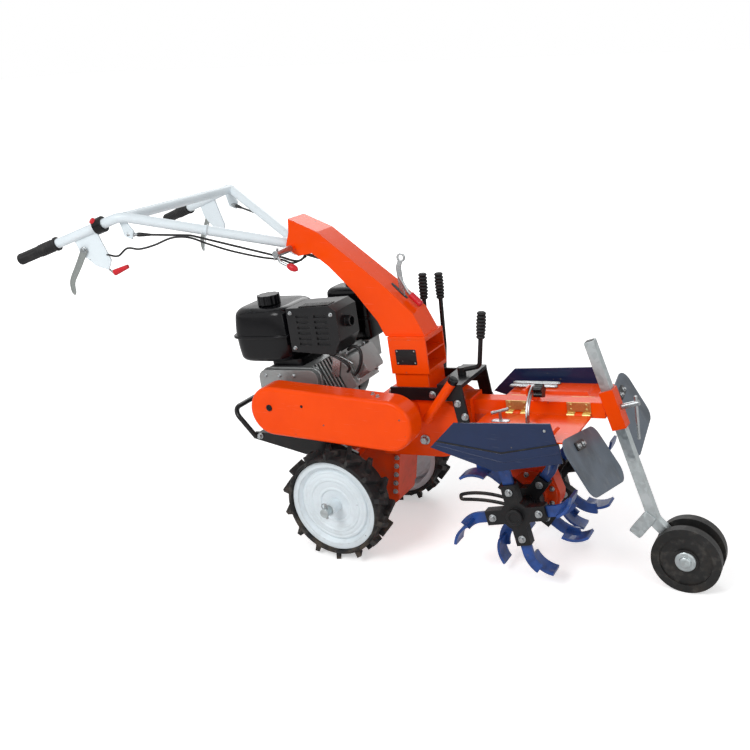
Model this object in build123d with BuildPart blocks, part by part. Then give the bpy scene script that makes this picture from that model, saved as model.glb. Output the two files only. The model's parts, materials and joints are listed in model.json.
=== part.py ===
"""A walk-behind ditching machine: a petrol engine drives two lugged wheels and a tined rotor
under hinged covers, steered from a swivelling handlebar and held level by a tail wheel.

Every piece is drawn in the axes of the machine's body: x runs from the handlebar towards the
rotor, y across the machine and z up, all from the middle of the wheel axle. The body stands
tipped by PITCH on its tail wheel. Seen along +x, the right side has negative y."""
import os
from math import atan2, cos, degrees, hypot, radians, sin, sqrt

from build123d import *

os.makedirs("parts", exist_ok=True)

# Stance on the ground
PITCH = 5.6
TYRE_RADIUS = 150.0
AXLE_FROM_ORIGIN = -27.87

# Clearances
RUNNING_FIT = 0.05
SEAT_GAP = 0.2
SLIDE_FIT = 0.5

# Drive wheels. The dish table gives the pressed steps of the wheel's face, from the bead to the hub
TRACK_HALF = 185.0
TYRE_WIDTH = 80.0
BEAD_HALF = 25.5
BEAD_DEPTH = 38.0
FLANGE_HEIGHT = 12.0
LUG_HEIGHT = 14.0
LUG_COUNT = 14
LUG_LENGTH = 46.0
LUG_THICKNESS = 12.0
LUG_SLANT = 28.0
RIM_SEAT = TYRE_RADIUS - BEAD_DEPTH
RIM_WALL = 3.0
HUB_RADIUS = 17.0
DISH = (  # (outward offset, share of the bead radius)
    (26.0, 0.985),
    (15.0, 0.900),
    (21.0, 0.740),
    (21.0, 0.560),
    (12.0, 0.145),
)
AXLE_RADIUS = 12.0
AXLE_SHANK = 13.0
AXLE_TIP = 261.0
AXLE_STUB = 23.0
AXLE_RELIEF = 1.5
AXLE_ROOT = 40.0

# Drop case and gearbox
CASE_HALF_WIDTH = 48.0
CASE_BOSS_END = 66.0
CASE_BOSS_RADIUS = 34.0
CASE_FOOT_RADIUS = 62.0
CASE_TOE = 102.0
CASE_FRONT = 133.0
CASE_TOP = 130.0
CASE_REAR_TOP = -38.0
CASE_RIB = 16.0
CASE_RIB_STAND = 8.0
GEARBOX_HALF_WIDTH = 70.0
GEARBOX_REAR = 96.0
GEARBOX_NOSE_X = 262.0
GEARBOX_NOSE_Z = 176.0
GEARBOX_NOSE_RADIUS = 80.0
GEARBOX_FRONT = 350.0
GEARBOX_TOP = GEARBOX_NOSE_Z + GEARBOX_NOSE_RADIUS
GEARBOX_BOTTOM = GEARBOX_NOSE_Z - GEARBOX_NOSE_RADIUS
NECK_HALF_WIDTH = 40.0
NECK_BOTTOM = 116.0
NECK_TOP = 246.0
HITCH_INNER = 78.0
HITCH_SHEET = 6.0
HITCH_TOP = 290.0
HITCH_FRONT = 352.0
STRUT_RADIUS = 12.0
STRUT_FOOT = (246.0, 205.0)
STRUT_HEAD = (338.0, 316.0)

# Engine, its shaft level with the cover's rear pulley
SHAFT_X = -148.0
SHAFT_Z = 258.0
SHAFT_RADIUS = 12.5
ENGINE_BASE = 150.0
CRANKCASE_LENGTH = 190.0
CRANKCASE_TOP = 338.0
CRANKCASE_RIGHT = -105.0
CRANKCASE_LEFT = 95.0
CYLINDER_Y = -15.0
CYLINDER_TILT = 24.0
FIN_COUNT = 7
FIN_PITCH = 11.0
FIN_THICKNESS = 4.0
FIRST_FIN = 78.0
FIN_WIDTH = 122.0
FIN_DEPTH = 104.0
CYLINDER_RADIUS = 46.0
HEAD_LENGTH = 34.0
ROCKER_HEIGHT = 40.0
STARTER_RADIUS = 99.0
STARTER_DEPTH = 55.0
STARTER_CAP_RADIUS = 80.0
STARTER_CAP_DEPTH = 27.0
STARTER_SLOTS = 12
MUFFLER_REAR = -124.0
TANK_TO_MUFFLER = 4.0
TANK_LENGTH = 204.0
TANK_X = MUFFLER_REAR - TANK_TO_MUFFLER - TANK_LENGTH / 2
TANK_Y = -9.0
TANK_WIDTH = 202.0
TANK_STAND = 18.0
TANK_LOWER = 70.0
TANK_SEAM = 8.0
TANK_UPPER = 76.0
TANK_CORNER = 24.0
TANK_TUCK = 28.0
CAP_RADIUS = 32.0
CAP_HEIGHT = 26.0
CAP_FLUTES = 10
CAP_AT = (10.0, -31.0)
MUFFLER_RIGHT = -105.0
MUFFLER_WIDTH = 105.0
MUFFLER_OUTLINE = (
    (MUFFLER_REAR, 391.5),
    (8.0, 382.3),
    (30.0, 420.0),
    (30.0, 500.0),
    (10.0, 516.0),
    (MUFFLER_REAR, 510.0),
)
MUFFLER_SLOT = 40.0
MUFFLER_SLOT_HEIGHT = 7.0
MUFFLER_SLOT_PITCH = 15.0
MUFFLER_SLOTS_AT = (-48.0, 450.0)
MUFFLER_OUTLET = 15.0
MUFFLER_OUTLET_Z = 462.0
CARBURETTOR_X = 0.0
CARBURETTOR_Z = 350.0
CARBURETTOR_BODY = (52.0, 55.0)
CARBURETTOR_WIDTH = 60.0
CLEANER_X = -36.0
CLEANER_Y = 104.0
CLEANER_BASE = 378.0
CLEANER_LENGTH = 140.0
CLEANER_WIDTH = 104.0
CLEANER_HEIGHT = 146.0

# Engine frame
TRAY_THICKNESS = 12.0
FRAME_REAR = -290.0
FRAME_FRONT = 40.0
TRAY_FRONT = -42.0
RAIL_RIGHT = -110.0
RAIL_LEFT = 100.0
RAIL_SHEET = 8.0
RAIL_TOP = 157.0
RAIL_BOTTOM = 84.0
BUMPER_ROD = 7.0
BUMPER_REAR = -345.0
BUMPER_TOP = 226.0
BUMPER_BEND = 30.0

# Belt cover
COVER_RADIUS = 67.5
COVER_OUTER = -212.0
COVER_DEPTH = 62.0
COVER_ROUND = 10.0
PULLEY_X = 195.0
PULLEY_Z = 229.0
PULLEY_BOSS = 24.0

# Swivelling column and arm. Ridge and belly are the arm's upper and lower edges, tip to foot
PEDESTAL_FLANGE = 10.0
PEDESTAL_HALF = 48.0
SWIVEL_X = 196.0
SWIVEL_Z = 316.0
SWIVEL_PIN = 15.0
SWIVEL_PIN_DEPTH = 30.0
COLUMN_REAR = 143.0
COLUMN_FRONT = 252.0
COLUMN_HALF_WIDTH = 54.0
COLUMN_TOP = 408.0
COLUMN_WALL = 4.0
COLUMN_FLOOR = 10.0
COLUMN_SHELF = 40.0
ARM_HALF_WIDTH = 40.0
ARM_WALL = 4.0
ARM_FOOT = 8.0
ARM_RIDGE = ((-114.0, 740.0), (-30.0, 700.0), (147.0, 549.0), (220.0, 474.0), (246.0, 416.0))
ARM_BELLY = ((130.0, 416.0), (113.0, 456.0), (56.0, 535.0), (-13.0, 609.0), (-56.0, 644.0))
LOCK_PLATE = 5.0
LOCK_EYE = (186.0, 614.0)
LOCK_EYE_RADIUS = 12.0
LOCK_GRIP_RADIUS = 9.0
LOCK_GRIP_LENGTH = 40.0
LOCK_GRIP_STAND = 15.0
LOCK_GRIP_AT = 0.58

# Gear levers, each a bent rod with a grip: (x of its foot, knee, top)
LEVER_ROD = 6.0
LEVER_BEND = 14.0
LEVER_GRIP = 13.0
LEVER_GRIP_LENGTH = 72.0
LEVER_FOOT_Z = 270.0
LEVERS = (
    (185.0, (176.0, 98.0, 340.0), (186.0, 98.0, 478.0)),
    (222.0, (216.0, 125.0, 340.0), (222.0, 125.0, 472.0)),
)
SHORT_LEVER = ((318.0, 312.0), (370.0, 322.0), (382.0, 396.0))

# Handlebar
PIVOT_X = -112.0
PIVOT_Z = 662.0
PIVOT_BOLT = 8.0
PIVOT_BOSS = 21.0
BAR_RADIUS = 13.5
BAR_BEND = 60.0
BEND_X = -502.0
BEND_Y = 242.0
BEND_Z = 806.0
GRIP_X = -826.0
GRIP_Y = 308.0
GRIP_Z = 719.0
GRIP_RADIUS = 16.0
GRIP_LENGTH = 128.0
GRIP_END = 8.0
GRIP_COLLAR = 7.0
CLAMP_REACH = 72.0
CLAMP_RADIUS = 9.0
CLAMP_CRANK = ((-112.0, 662.0), (-106.0, 640.0), (-84.0, 630.0))
CLAMP_KNOB = 8.0
SWITCH_AT = 56.0
SWITCH_RADIUS = 22.0
SWITCH_LENGTH = 24.0
BRACKET_SHEET = 4.0
BRACKET = (
    (86.0, 0.0),
    (84.0, -44.0),
    (80.0, -96.0),
    (100.0, -118.0),
    (130.0, -96.0),
    (160.0, -48.0),
    (162.0, 0.0),
)
STAY = ((-516.0, 790.0), (-494.0, 790.0), (-474.0, 764.0), (-484.0, 742.0), (-508.0, 752.0))
STAY_INSET = 9.0
LEVER_PATH = ((140.0, -42.0), (191.0, -87.0), (224.0, -108.0), (230.0, -146.0))
LEVER_BOW = 20.0
LEVER_SHEET = 7.0
LEVER_WIDTH = 15.0
THROTTLE_ROD = 3.0
THROTTLE_PATH = ((124.0, -80.0), (94.0, -130.0), (44.0, -128.0))
THROTTLE_TIP = 46.0
CABLE_RADIUS = 3.0
CABLE_BEND = 60.0
BAR_CABLE = ((-484.0, 227.8, 754.0), (-350.0, 158.0, 731.0), (-142.0, 49.0, 638.0))
ARM_CABLE = ((-82.0, 641.0), (-12.0, 620.0), (106.0, 488.0))

# Hood over the rotor
BEAM_HALF = 20.0
BEAM_BOTTOM = 200.0
WING_REAR = 392.0
WING_FRONT = 664.0
WING_INNER = 34.0
WING_OUTER = 206.0
WING_Z = 206.0
WING_SHEET = 4.0
WING_RIB = 6.0
SHIELD_SHEET = 4.0
SHIELD_STEP = 3.0
SHIELD_TOP = ((379.0, 248.0), (623.0, 256.0))
SHIELD_SEAM = ((640.0, 206.0), (495.0, 176.0), (326.0, 198.0))
SHIELD_FOOT = ((311.0, 183.0), (476.0, 130.0), (645.0, 161.0))
HINGE_RADIUS = 6.0
HINGE_PIN = 3.0
HINGE_LENGTH = 60.0
HINGE_LEAF = 24.0
HINGE_PLACES = (WING_REAR + 48.0, WING_FRONT - 64.0)
FLAP_SHEET = 4.0
FLAP_CORNER = 34.0
FLAP_OUTER_TOP = (WING_FRONT - 4.0, 268.0, 236.0)
FLAP_OUTER_LOW = (WING_FRONT + 66.0, 268.0, 104.0)
FLAP_INNER_TOP = (WING_FRONT + 8.0, 54.0, 196.0)
FLAP_INNER_LOW = (WING_FRONT + 80.0, 46.0, 58.0)
QUADRANT_X = 524.0
QUADRANT_RADIUS = 76.0
QUADRANT_WIDTH = 18.0
QUADRANT_SHEET = 4.0
QUADRANT_SLOT = 8.0
QUADRANT_SPAN = (1.9, 78.0)
SLOT_SPAN = (18.0, 72.0)
KNOB_ANGLE = 69.0
KNOB_BOLT = 3.0
KNOB_RADIUS = 17.0
KNOB_LENGTH = 22.0
KNOB_LOBES = 5

# Rotor. Each row of tines: (distance from the middle, turn of its first tine)
ROTOR_X = 492.0
ROTOR_Z = -8.0
ROTOR_SHAFT = 21.0
ROTOR_OUTER = 172.0
ROWS = ((70.0, 52.0), (150.0, 10.0))
TINES_PER_ROW = 4
HOLDER_RADIUS = 38.0
HOLDER_THICKNESS = 26.0
SOCKET_REACH = 80.0
SOCKET_WALL = 5.0
TINE_ROOT = 46.0
TINE_STRAIGHT = 102.0
TINE_WIDTH = 28.0
TINE_THICKNESS = 8.0
TINE_CURL = 70.0
TINE_TURN = 72.0
BLADE_START = 14.0
BLADE_THICKNESS = 7.0
BLADE_REACH = 42.0
CHAIN_CASE_HALF = 28.0
CHAIN_BOSS_HALF = 40.0
CHAIN_CASE_RADIUS = 68.0
CHAIN_CASE_LIP = 7.0

# Tail wheel and its mast
MAST_TOP = (666.0, 391.0)
MAST_BEND = (790.0, -69.0)
MAST_HALF = 12.5
MAST_ROUND = 40.0
SLEEVE_WALL = 5.0
SLEEVE_LENGTH = 100.0
SCREW_RADIUS = 7.0
SCREW_LENGTH = 46.0
TOMMY_RADIUS = 4.0
TOMMY_LENGTH = 110.0
TAIL_X = 867.0
TAIL_RADIUS = 84.0
TAIL_WHEEL_WIDTH = 24.0
TAIL_WHEEL_GAP = 18.0
TAIL_AXLE = 8.0
TAIL_DISH = 5.0

SIDES = (("right", -1), ("left", 1))

BODY = Plane(
    origin=(AXLE_FROM_ORIGIN, 0, TYRE_RADIUS),
    x_dir=(cos(radians(PITCH)), 0, sin(radians(PITCH))),
    z_dir=(-sin(radians(PITCH)), 0, cos(radians(PITCH))),
)
# Height of the tail axle in the body's axes, so that its wheels stand on the ground
TAIL_Z = (TAIL_RADIUS - TYRE_RADIUS - TAIL_X * sin(radians(PITCH))) / cos(radians(PITCH))


def place(x, y, z):
    """A point of the body in the machine's standing axes."""
    return BODY.from_local_coords(Vector(x, y, z))


def heading(x, y, z):
    """A direction of the body in the machine's standing axes."""
    return place(x, y, z) - place(0, 0, 0)


def side(y):
    """The plane at y that faces right, with x along the body and y up it."""
    return Plane(origin=place(0, y, 0), x_dir=BODY.x_dir, z_dir=(0, -1, 0))


def level(z):
    """The plane at height z that faces up."""
    return Plane(origin=place(0, 0, z), x_dir=BODY.x_dir, z_dir=BODY.z_dir)


def across(x):
    """The plane at x that faces the rotor end, with x to the left and y up."""
    return Plane(origin=place(x, 0, 0), x_dir=(0, 1, 0), z_dir=BODY.x_dir)


def rod(points, radius, bend=0):
    """A round bar along straight runs joined by arcs of one bend radius."""
    with BuildLine(BODY) as path:
        if len(points) > 2:
            FilletPolyline(*points, radius=bend)
        else:
            Line(*points)
    with BuildSketch(Plane(path.line @ 0, z_dir=path.line % 0)) as section:
        Circle(radius)
    sweep(section.sketch, path=path.line)


def disc(x, z, radius, y_from, y_to, mode=Mode.ADD):
    """A cylinder across the machine between two y values."""
    with BuildSketch(side(y_from)) as section:
        with Locations((x, z)):
            Circle(radius)
    extrude(section.sketch, amount=y_from - y_to, mode=mode)


def plate(outline, y, thickness):
    """A flat plate that lies along the body, from y towards its left by the thickness."""
    with BuildSketch(side(y)) as section:
        Polygon(*outline, align=None)
    extrude(section.sketch, amount=-thickness)


def write(name, piece):
    """Label a finished piece and write it."""
    piece.part.label = name
    export_step(piece.part, f"parts/{name}.step")


# Drive wheels: lugged tyre, dished rim and the axle stub that carries it
for name, hand in SIDES:
    middle = hand * TRACK_HALF
    section = Plane(place(0, middle, 0), x_dir=(0, hand, 0), z_dir=BODY.x_dir * hand)
    spin = Axis(place(0, middle, 0), (0, 1, 0))
    half = TYRE_WIDTH / 2
    carcass = TYRE_RADIUS - LUG_HEIGHT
    flange = RIM_SEAT + FLANGE_HEIGHT

    with BuildPart() as tyre:
        wall = [
            (BEAD_HALF, RIM_SEAT),
            (BEAD_HALF, flange + 1),
            (half - 2, flange + 3),
            (half, carcass - 4),
            (half - 6, carcass),
        ]
        with BuildSketch(section):
            Polygon(*wall, *[(-y, r) for y, r in reversed(wall)], align=None)
        revolve(axis=spin)
        for row in (-1, 1):
            seats = []
            for lug in range(LUG_COUNT):
                turn = radians((lug + (row + 1) / 4) * 360 / LUG_COUNT)
                out = Vector(sin(turn), 0, -cos(turn))
                crown = place(0, middle, 0) + out * TYRE_RADIUS
                seats.append(Plane(crown, x_dir=(0, 1, 0), z_dir=out))
            with BuildSketch(*seats) as lugs:
                with Locations(Location((row * LUG_LENGTH * 0.38, 0, 0), (0, 0, row * LUG_SLANT))):
                    Rectangle(LUG_LENGTH, LUG_THICKNESS)
            extrude(lugs.sketch, amount=-LUG_HEIGHT - 2)
    write(f"{name}_tyre", tyre)

    with BuildPart() as rim:
        seat = RIM_SEAT - SEAT_GAP
        edge = BEAD_HALF + SEAT_GAP
        barrel = [(-edge, flange), (-edge, seat), (edge, seat), (edge, flange)]
        with BuildSketch(section):
            with BuildLine():
                Polyline(*barrel)
                offset(amount=RIM_WALL, kind=Kind.INTERSECTION, side=Side.RIGHT)
            make_face()
            back = [(out, share * seat) for out, share in DISH]
            face = [(out + RIM_WALL, share * seat) for out, share in reversed(DISH)]
            Polygon(*back, *face, align=None)
        revolve(axis=spin)
        hub_end = AXLE_TIP - AXLE_STUB - AXLE_RELIEF
        disc(0, 0, HUB_RADIUS, middle - hand * half, hand * hub_end)
        disc(0, 0, AXLE_SHANK + SEAT_GAP, middle - hand * TYRE_WIDTH, hand * AXLE_TIP, Mode.SUBTRACT)
    write(f"{name}_rim", rim)

    with BuildPart() as axle:
        disc(0, 0, AXLE_SHANK, hand * AXLE_ROOT, hand * hub_end)
        disc(0, 0, AXLE_RADIUS - 1, hand * hub_end, hand * (hub_end + AXLE_RELIEF))
        disc(0, 0, AXLE_RADIUS, hand * (hub_end + AXLE_RELIEF), hand * AXLE_TIP)
    write(f"{name}_axle", axle)

# Drop case: the chain housing from the gearbox down to the axle, with a bolted rib along its front
with BuildPart() as drop_case:
    with BuildSketch(side(0)):
        foot = CASE_FOOT_RADIUS
        with BuildLine():
            FilletPolyline((0, -foot), (CASE_TOE, -foot), (CASE_FRONT, GEARBOX_BOTTOM - SEAT_GAP), radius=25)
            Polyline(
                (CASE_FRONT, GEARBOX_BOTTOM - SEAT_GAP),
                (GEARBOX_REAR - SEAT_GAP, GEARBOX_BOTTOM - SEAT_GAP),
                (GEARBOX_REAR - SEAT_GAP, CASE_TOP),
                (CASE_REAR_TOP, CASE_TOP),
                (-foot, 0),
            )
            ThreePointArc((-foot, 0), (-foot * sqrt(0.5), -foot * sqrt(0.5)), (0, -foot))
        make_face()
    extrude(amount=CASE_HALF_WIDTH, both=True)
    rise = Vector(CASE_FRONT - CASE_TOE, GEARBOX_BOTTOM + foot).normalized()
    low = Vector(CASE_TOE, -foot) + rise * CASE_RIB * 2
    high = Vector(CASE_FRONT, GEARBOX_BOTTOM) - rise * CASE_RIB / 2
    with BuildSketch(side(0)):
        Polygon(
            (low.X - CASE_RIB, low.Y), (high.X - CASE_RIB, high.Y), (high.X, high.Y), (low.X, low.Y), align=None
        )
    extrude(amount=CASE_HALF_WIDTH + CASE_RIB_STAND, both=True)
    disc(0, 0, CASE_BOSS_RADIUS, CASE_BOSS_END, -CASE_BOSS_END)
    disc(FRAME_FRONT - 26, RAIL_BOTTOM + 14, 11, RAIL_RIGHT, RAIL_LEFT)
    for _, hand in SIDES:
        bore = AXLE_SHANK + RUNNING_FIT
        disc(0, 0, bore, hand * (AXLE_ROOT - 2), hand * CASE_BOSS_END, Mode.SUBTRACT)
write("drop_case", drop_case)

# Gearbox: a casting with a round nose, and the neck that carries the hood
with BuildPart() as gearbox:
    with BuildSketch(side(0)):
        with Locations(((GEARBOX_REAR + GEARBOX_NOSE_X) / 2, GEARBOX_NOSE_Z)):
            Rectangle(GEARBOX_NOSE_X - GEARBOX_REAR, 2 * GEARBOX_NOSE_RADIUS)
        with Locations((GEARBOX_NOSE_X, GEARBOX_NOSE_Z)):
            Circle(GEARBOX_NOSE_RADIUS)
    extrude(amount=GEARBOX_HALF_WIDTH, both=True)
    with BuildSketch(side(0)):
        with Locations(((GEARBOX_NOSE_X + GEARBOX_FRONT) / 2, (NECK_BOTTOM + NECK_TOP) / 2)):
            Rectangle(GEARBOX_FRONT - GEARBOX_NOSE_X, NECK_TOP - NECK_BOTTOM)
    extrude(amount=NECK_HALF_WIDTH, both=True)
    disc(PULLEY_X, PULLEY_Z, PULLEY_BOSS, -GEARBOX_HALF_WIDTH, COVER_OUTER + COVER_DEPTH)
write("gearbox", gearbox)

# Pedestal: the bolted foot that the column turns on, and the slanted strut beside it
with BuildPart() as pedestal:
    with BuildSketch(level(GEARBOX_TOP + SEAT_GAP)):
        with Locations((SWIVEL_X, 0)):
            Rectangle(3 * PEDESTAL_HALF, 2 * (HITCH_INNER - SEAT_GAP))
    extrude(amount=PEDESTAL_FLANGE)
    with BuildSketch(level(GEARBOX_TOP + PEDESTAL_FLANGE)):
        with Locations((SWIVEL_X, 0)):
            Rectangle(2 * PEDESTAL_HALF, 2 * PEDESTAL_HALF)
            Circle(SWIVEL_PIN + RUNNING_FIT, mode=Mode.SUBTRACT)
    extrude(amount=SWIVEL_Z - GEARBOX_TOP - PEDESTAL_FLANGE)
    strut_y = -HITCH_INNER - HITCH_SHEET - SEAT_GAP - STRUT_RADIUS
    rod([(STRUT_FOOT[0], strut_y, STRUT_FOOT[1]), (STRUT_HEAD[0], strut_y, STRUT_HEAD[1])], STRUT_RADIUS)
write("pedestal", pedestal)

# Hitch plates: a pair beside the pedestal, tied by a top cover
with BuildPart() as hitch_plates:
    outline = [
        (SWIVEL_X - PEDESTAL_HALF, HITCH_TOP),
        (HITCH_FRONT, HITCH_TOP),
        (HITCH_FRONT + 10, BEAM_BOTTOM),
        (HITCH_FRONT - 22, BEAM_BOTTOM - 4),
        (HITCH_FRONT - 30, GEARBOX_TOP),
        (SWIVEL_X - PEDESTAL_HALF, GEARBOX_TOP + SEAT_GAP),
    ]
    for _, hand in SIDES:
        plate(outline, hand * HITCH_INNER, hand * HITCH_SHEET)
    with BuildSketch(level(HITCH_TOP)):
        with Locations((HITCH_FRONT - 34, 0)):
            Rectangle(68, 2 * (HITCH_INNER + HITCH_SHEET))
    extrude(amount=10)
write("hitch_plates", hitch_plates)

# Engine frame: tray with two tapering side rails
with BuildPart() as engine_frame:
    with BuildSketch(level(ENGINE_BASE - TRAY_THICKNESS)):
        with Locations(((FRAME_REAR + TRAY_FRONT) / 2, (RAIL_RIGHT + RAIL_LEFT) / 2)):
            Rectangle(TRAY_FRONT - FRAME_REAR, RAIL_LEFT - RAIL_RIGHT)
    extrude(amount=TRAY_THICKNESS)
    rail = [
        (FRAME_REAR, RAIL_TOP),
        (FRAME_REAR, RAIL_TOP - 20),
        (TRAY_FRONT - 18, RAIL_BOTTOM),
        (FRAME_FRONT, RAIL_BOTTOM),
        (FRAME_FRONT, RAIL_BOTTOM + 28),
        (TRAY_FRONT - 18, RAIL_TOP),
    ]
    plate(rail, RAIL_RIGHT, -RAIL_SHEET)
    plate(rail, RAIL_LEFT, RAIL_SHEET)
write("engine_frame", engine_frame)

with BuildPart() as front_bumper:
    right = RAIL_RIGHT - RAIL_SHEET - BUMPER_ROD - SEAT_GAP
    left = RAIL_LEFT + RAIL_SHEET + BUMPER_ROD + SEAT_GAP
    hoop = [
        (FRAME_REAR + 10, right, RAIL_TOP - 12),
        (BUMPER_REAR, right, BUMPER_TOP),
        (BUMPER_REAR, left, BUMPER_TOP),
        (FRAME_REAR + 10, left, RAIL_TOP - 12),
    ]
    rod(hoop, BUMPER_ROD, BUMPER_BEND)
write("front_bumper", front_bumper)

# Engine: crankcase, slanted finned cylinder and head
with BuildPart() as engine_block:
    with BuildSketch(side(CRANKCASE_RIGHT)):
        with Locations((SHAFT_X - 6, (ENGINE_BASE + CRANKCASE_TOP) / 2)):
            RectangleRounded(CRANKCASE_LENGTH, CRANKCASE_TOP - ENGINE_BASE, 24)
    extrude(amount=CRANKCASE_RIGHT - CRANKCASE_LEFT)
    disc(SHAFT_X, SHAFT_Z, SHAFT_RADIUS, CRANKCASE_RIGHT, COVER_OUTER + COVER_DEPTH + SLIDE_FIT)
    tilt = radians(CYLINDER_TILT)
    bore_line = Plane(
        origin=place(SHAFT_X, CYLINDER_Y, SHAFT_Z), x_dir=(0, 1, 0), z_dir=heading(cos(tilt), 0, sin(tilt))
    )
    with BuildSketch(bore_line):
        Circle(CYLINDER_RADIUS)
    head_start = FIRST_FIN + FIN_COUNT * FIN_PITCH
    extrude(amount=head_start + 2)
    with BuildSketch(*[bore_line.offset(FIRST_FIN + fin * FIN_PITCH) for fin in range(FIN_COUNT)]):
        Rectangle(FIN_WIDTH, FIN_DEPTH)
    extrude(amount=FIN_THICKNESS)
    with BuildSketch(bore_line.offset(head_start)):
        Rectangle(FIN_WIDTH, FIN_DEPTH)
    extrude(amount=HEAD_LENGTH)
write("engine_block", engine_block)

with BuildPart() as rocker_cover:
    with BuildSketch(bore_line.offset(head_start + HEAD_LENGTH + SEAT_GAP)):
        Rectangle(FIN_WIDTH - 18, FIN_DEPTH - 16)
    extrude(amount=6)
    with BuildSketch(bore_line.offset(head_start + HEAD_LENGTH + SEAT_GAP + 6)):
        RectangleRounded(FIN_WIDTH - 30, FIN_DEPTH - 28, 14)
    extrude(amount=ROCKER_HEIGHT - 6, taper=6)
write("rocker_cover", rocker_cover)

with BuildPart() as recoil_starter:
    face = CRANKCASE_LEFT + STARTER_DEPTH
    disc(SHAFT_X, SHAFT_Z, STARTER_RADIUS, CRANKCASE_LEFT + SEAT_GAP, face)
    disc(SHAFT_X, SHAFT_Z, STARTER_CAP_RADIUS, face, face + STARTER_CAP_DEPTH)
    with BuildSketch(side(face + STARTER_CAP_DEPTH)) as vents:
        with Locations((SHAFT_X, SHAFT_Z)):
            with PolarLocations(STARTER_CAP_RADIUS * 0.62, STARTER_SLOTS):
                Rectangle(STARTER_CAP_RADIUS * 0.5, 12)
    extrude(vents.sketch, amount=STARTER_CAP_DEPTH / 3, mode=Mode.SUBTRACT)
write("recoil_starter", recoil_starter)

with BuildPart() as fuel_tank:
    tank_base = CRANKCASE_TOP + TANK_STAND
    seam_z = tank_base + TANK_LOWER
    with BuildSketch(level(CRANKCASE_TOP + SEAT_GAP)):
        with Locations((SHAFT_X - TANK_TUCK, TANK_Y)):
            Rectangle(TANK_LENGTH / 2, TANK_WIDTH * 0.6)
    extrude(amount=TANK_STAND)
    with BuildSketch(level(tank_base)):
        with Locations((TANK_X, TANK_Y)):
            RectangleRounded(TANK_LENGTH - TANK_TUCK, TANK_WIDTH - TANK_TUCK, TANK_CORNER)
    extrude(amount=TANK_LOWER, taper=-6)
    with BuildSketch(level(seam_z)):
        with Locations((TANK_X, TANK_Y)):
            RectangleRounded(TANK_LENGTH, TANK_WIDTH, TANK_CORNER)
    extrude(amount=TANK_SEAM)
    with BuildSketch(level(seam_z + TANK_SEAM)):
        with Locations((TANK_X, TANK_Y)):
            RectangleRounded(TANK_LENGTH - TANK_TUCK / 2, TANK_WIDTH - TANK_TUCK / 2, TANK_CORNER)
    extrude(amount=TANK_UPPER, taper=8)
write("fuel_tank", fuel_tank)

with BuildPart() as tank_cap:
    with BuildSketch(level(seam_z + TANK_SEAM + TANK_UPPER + SEAT_GAP)):
        with Locations((TANK_X + CAP_AT[0], TANK_Y + CAP_AT[1])):
            Circle(CAP_RADIUS)
            with PolarLocations(CAP_RADIUS + 3, CAP_FLUTES):
                Circle(6, mode=Mode.SUBTRACT)
    extrude(amount=CAP_HEIGHT)
write("tank_cap", tank_cap)

with BuildPart() as muffler:
    plate(MUFFLER_OUTLINE, MUFFLER_RIGHT, MUFFLER_WIDTH)
    with BuildSketch(side(MUFFLER_RIGHT)) as slots:
        with Locations(MUFFLER_SLOTS_AT):
            with GridLocations(1.4 * MUFFLER_SLOT, MUFFLER_SLOT_PITCH, 2, 6):
                Rectangle(MUFFLER_SLOT, MUFFLER_SLOT_HEIGHT)
    extrude(slots.sketch, amount=-4, mode=Mode.SUBTRACT)
    with BuildSketch(across(MUFFLER_OUTLINE[2][0])) as outlet:
        with Locations((MUFFLER_RIGHT + MUFFLER_WIDTH / 2, MUFFLER_OUTLET_Z)):
            Circle(MUFFLER_OUTLET)
            Circle(MUFFLER_OUTLET - 3, mode=Mode.SUBTRACT)
    extrude(outlet.sketch, amount=14)
write("muffler", muffler)

with BuildPart() as carburettor:
    with BuildSketch(side(CYLINDER_Y + FIN_WIDTH / 2 + SEAT_GAP)):
        with Locations((CARBURETTOR_X, CARBURETTOR_Z)):
            Rectangle(*CARBURETTOR_BODY)
    extrude(amount=-CARBURETTOR_WIDTH)
write("carburettor", carburettor)

with BuildPart() as air_cleaner:
    with BuildSketch(level(CLEANER_BASE)):
        with Locations((CLEANER_X, CLEANER_Y)):
            RectangleRounded(CLEANER_LENGTH, CLEANER_WIDTH, 20)
    extrude(amount=CLEANER_HEIGHT, taper=2)
    with BuildSketch(level(CLEANER_BASE + CLEANER_HEIGHT)):
        with Locations((CLEANER_X, CLEANER_Y)):
            Circle(20)
            with PolarLocations(22, 6):
                Circle(4, mode=Mode.SUBTRACT)
    extrude(amount=14)
write("air_cleaner", air_cleaner)

# Belt cover: a long oblong shell over the two pulleys
with BuildPart() as belt_cover:
    run = hypot(PULLEY_X - SHAFT_X, PULLEY_Z - SHAFT_Z)
    slope = degrees(atan2(PULLEY_Z - SHAFT_Z, PULLEY_X - SHAFT_X))
    with BuildSketch(side(COVER_OUTER + COVER_DEPTH - SEAT_GAP)):
        with Locations(Location(((SHAFT_X + PULLEY_X) / 2, (SHAFT_Z + PULLEY_Z) / 2, 0), (0, 0, slope))):
            SlotOverall(run + 2 * COVER_RADIUS, 2 * COVER_RADIUS)
    extrude(amount=COVER_DEPTH - SEAT_GAP)
    outer_face = belt_cover.faces().sort_by(Axis.Y)[0]
    fillet(outer_face.edges(), COVER_ROUND)
write("belt_cover", belt_cover)

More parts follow.
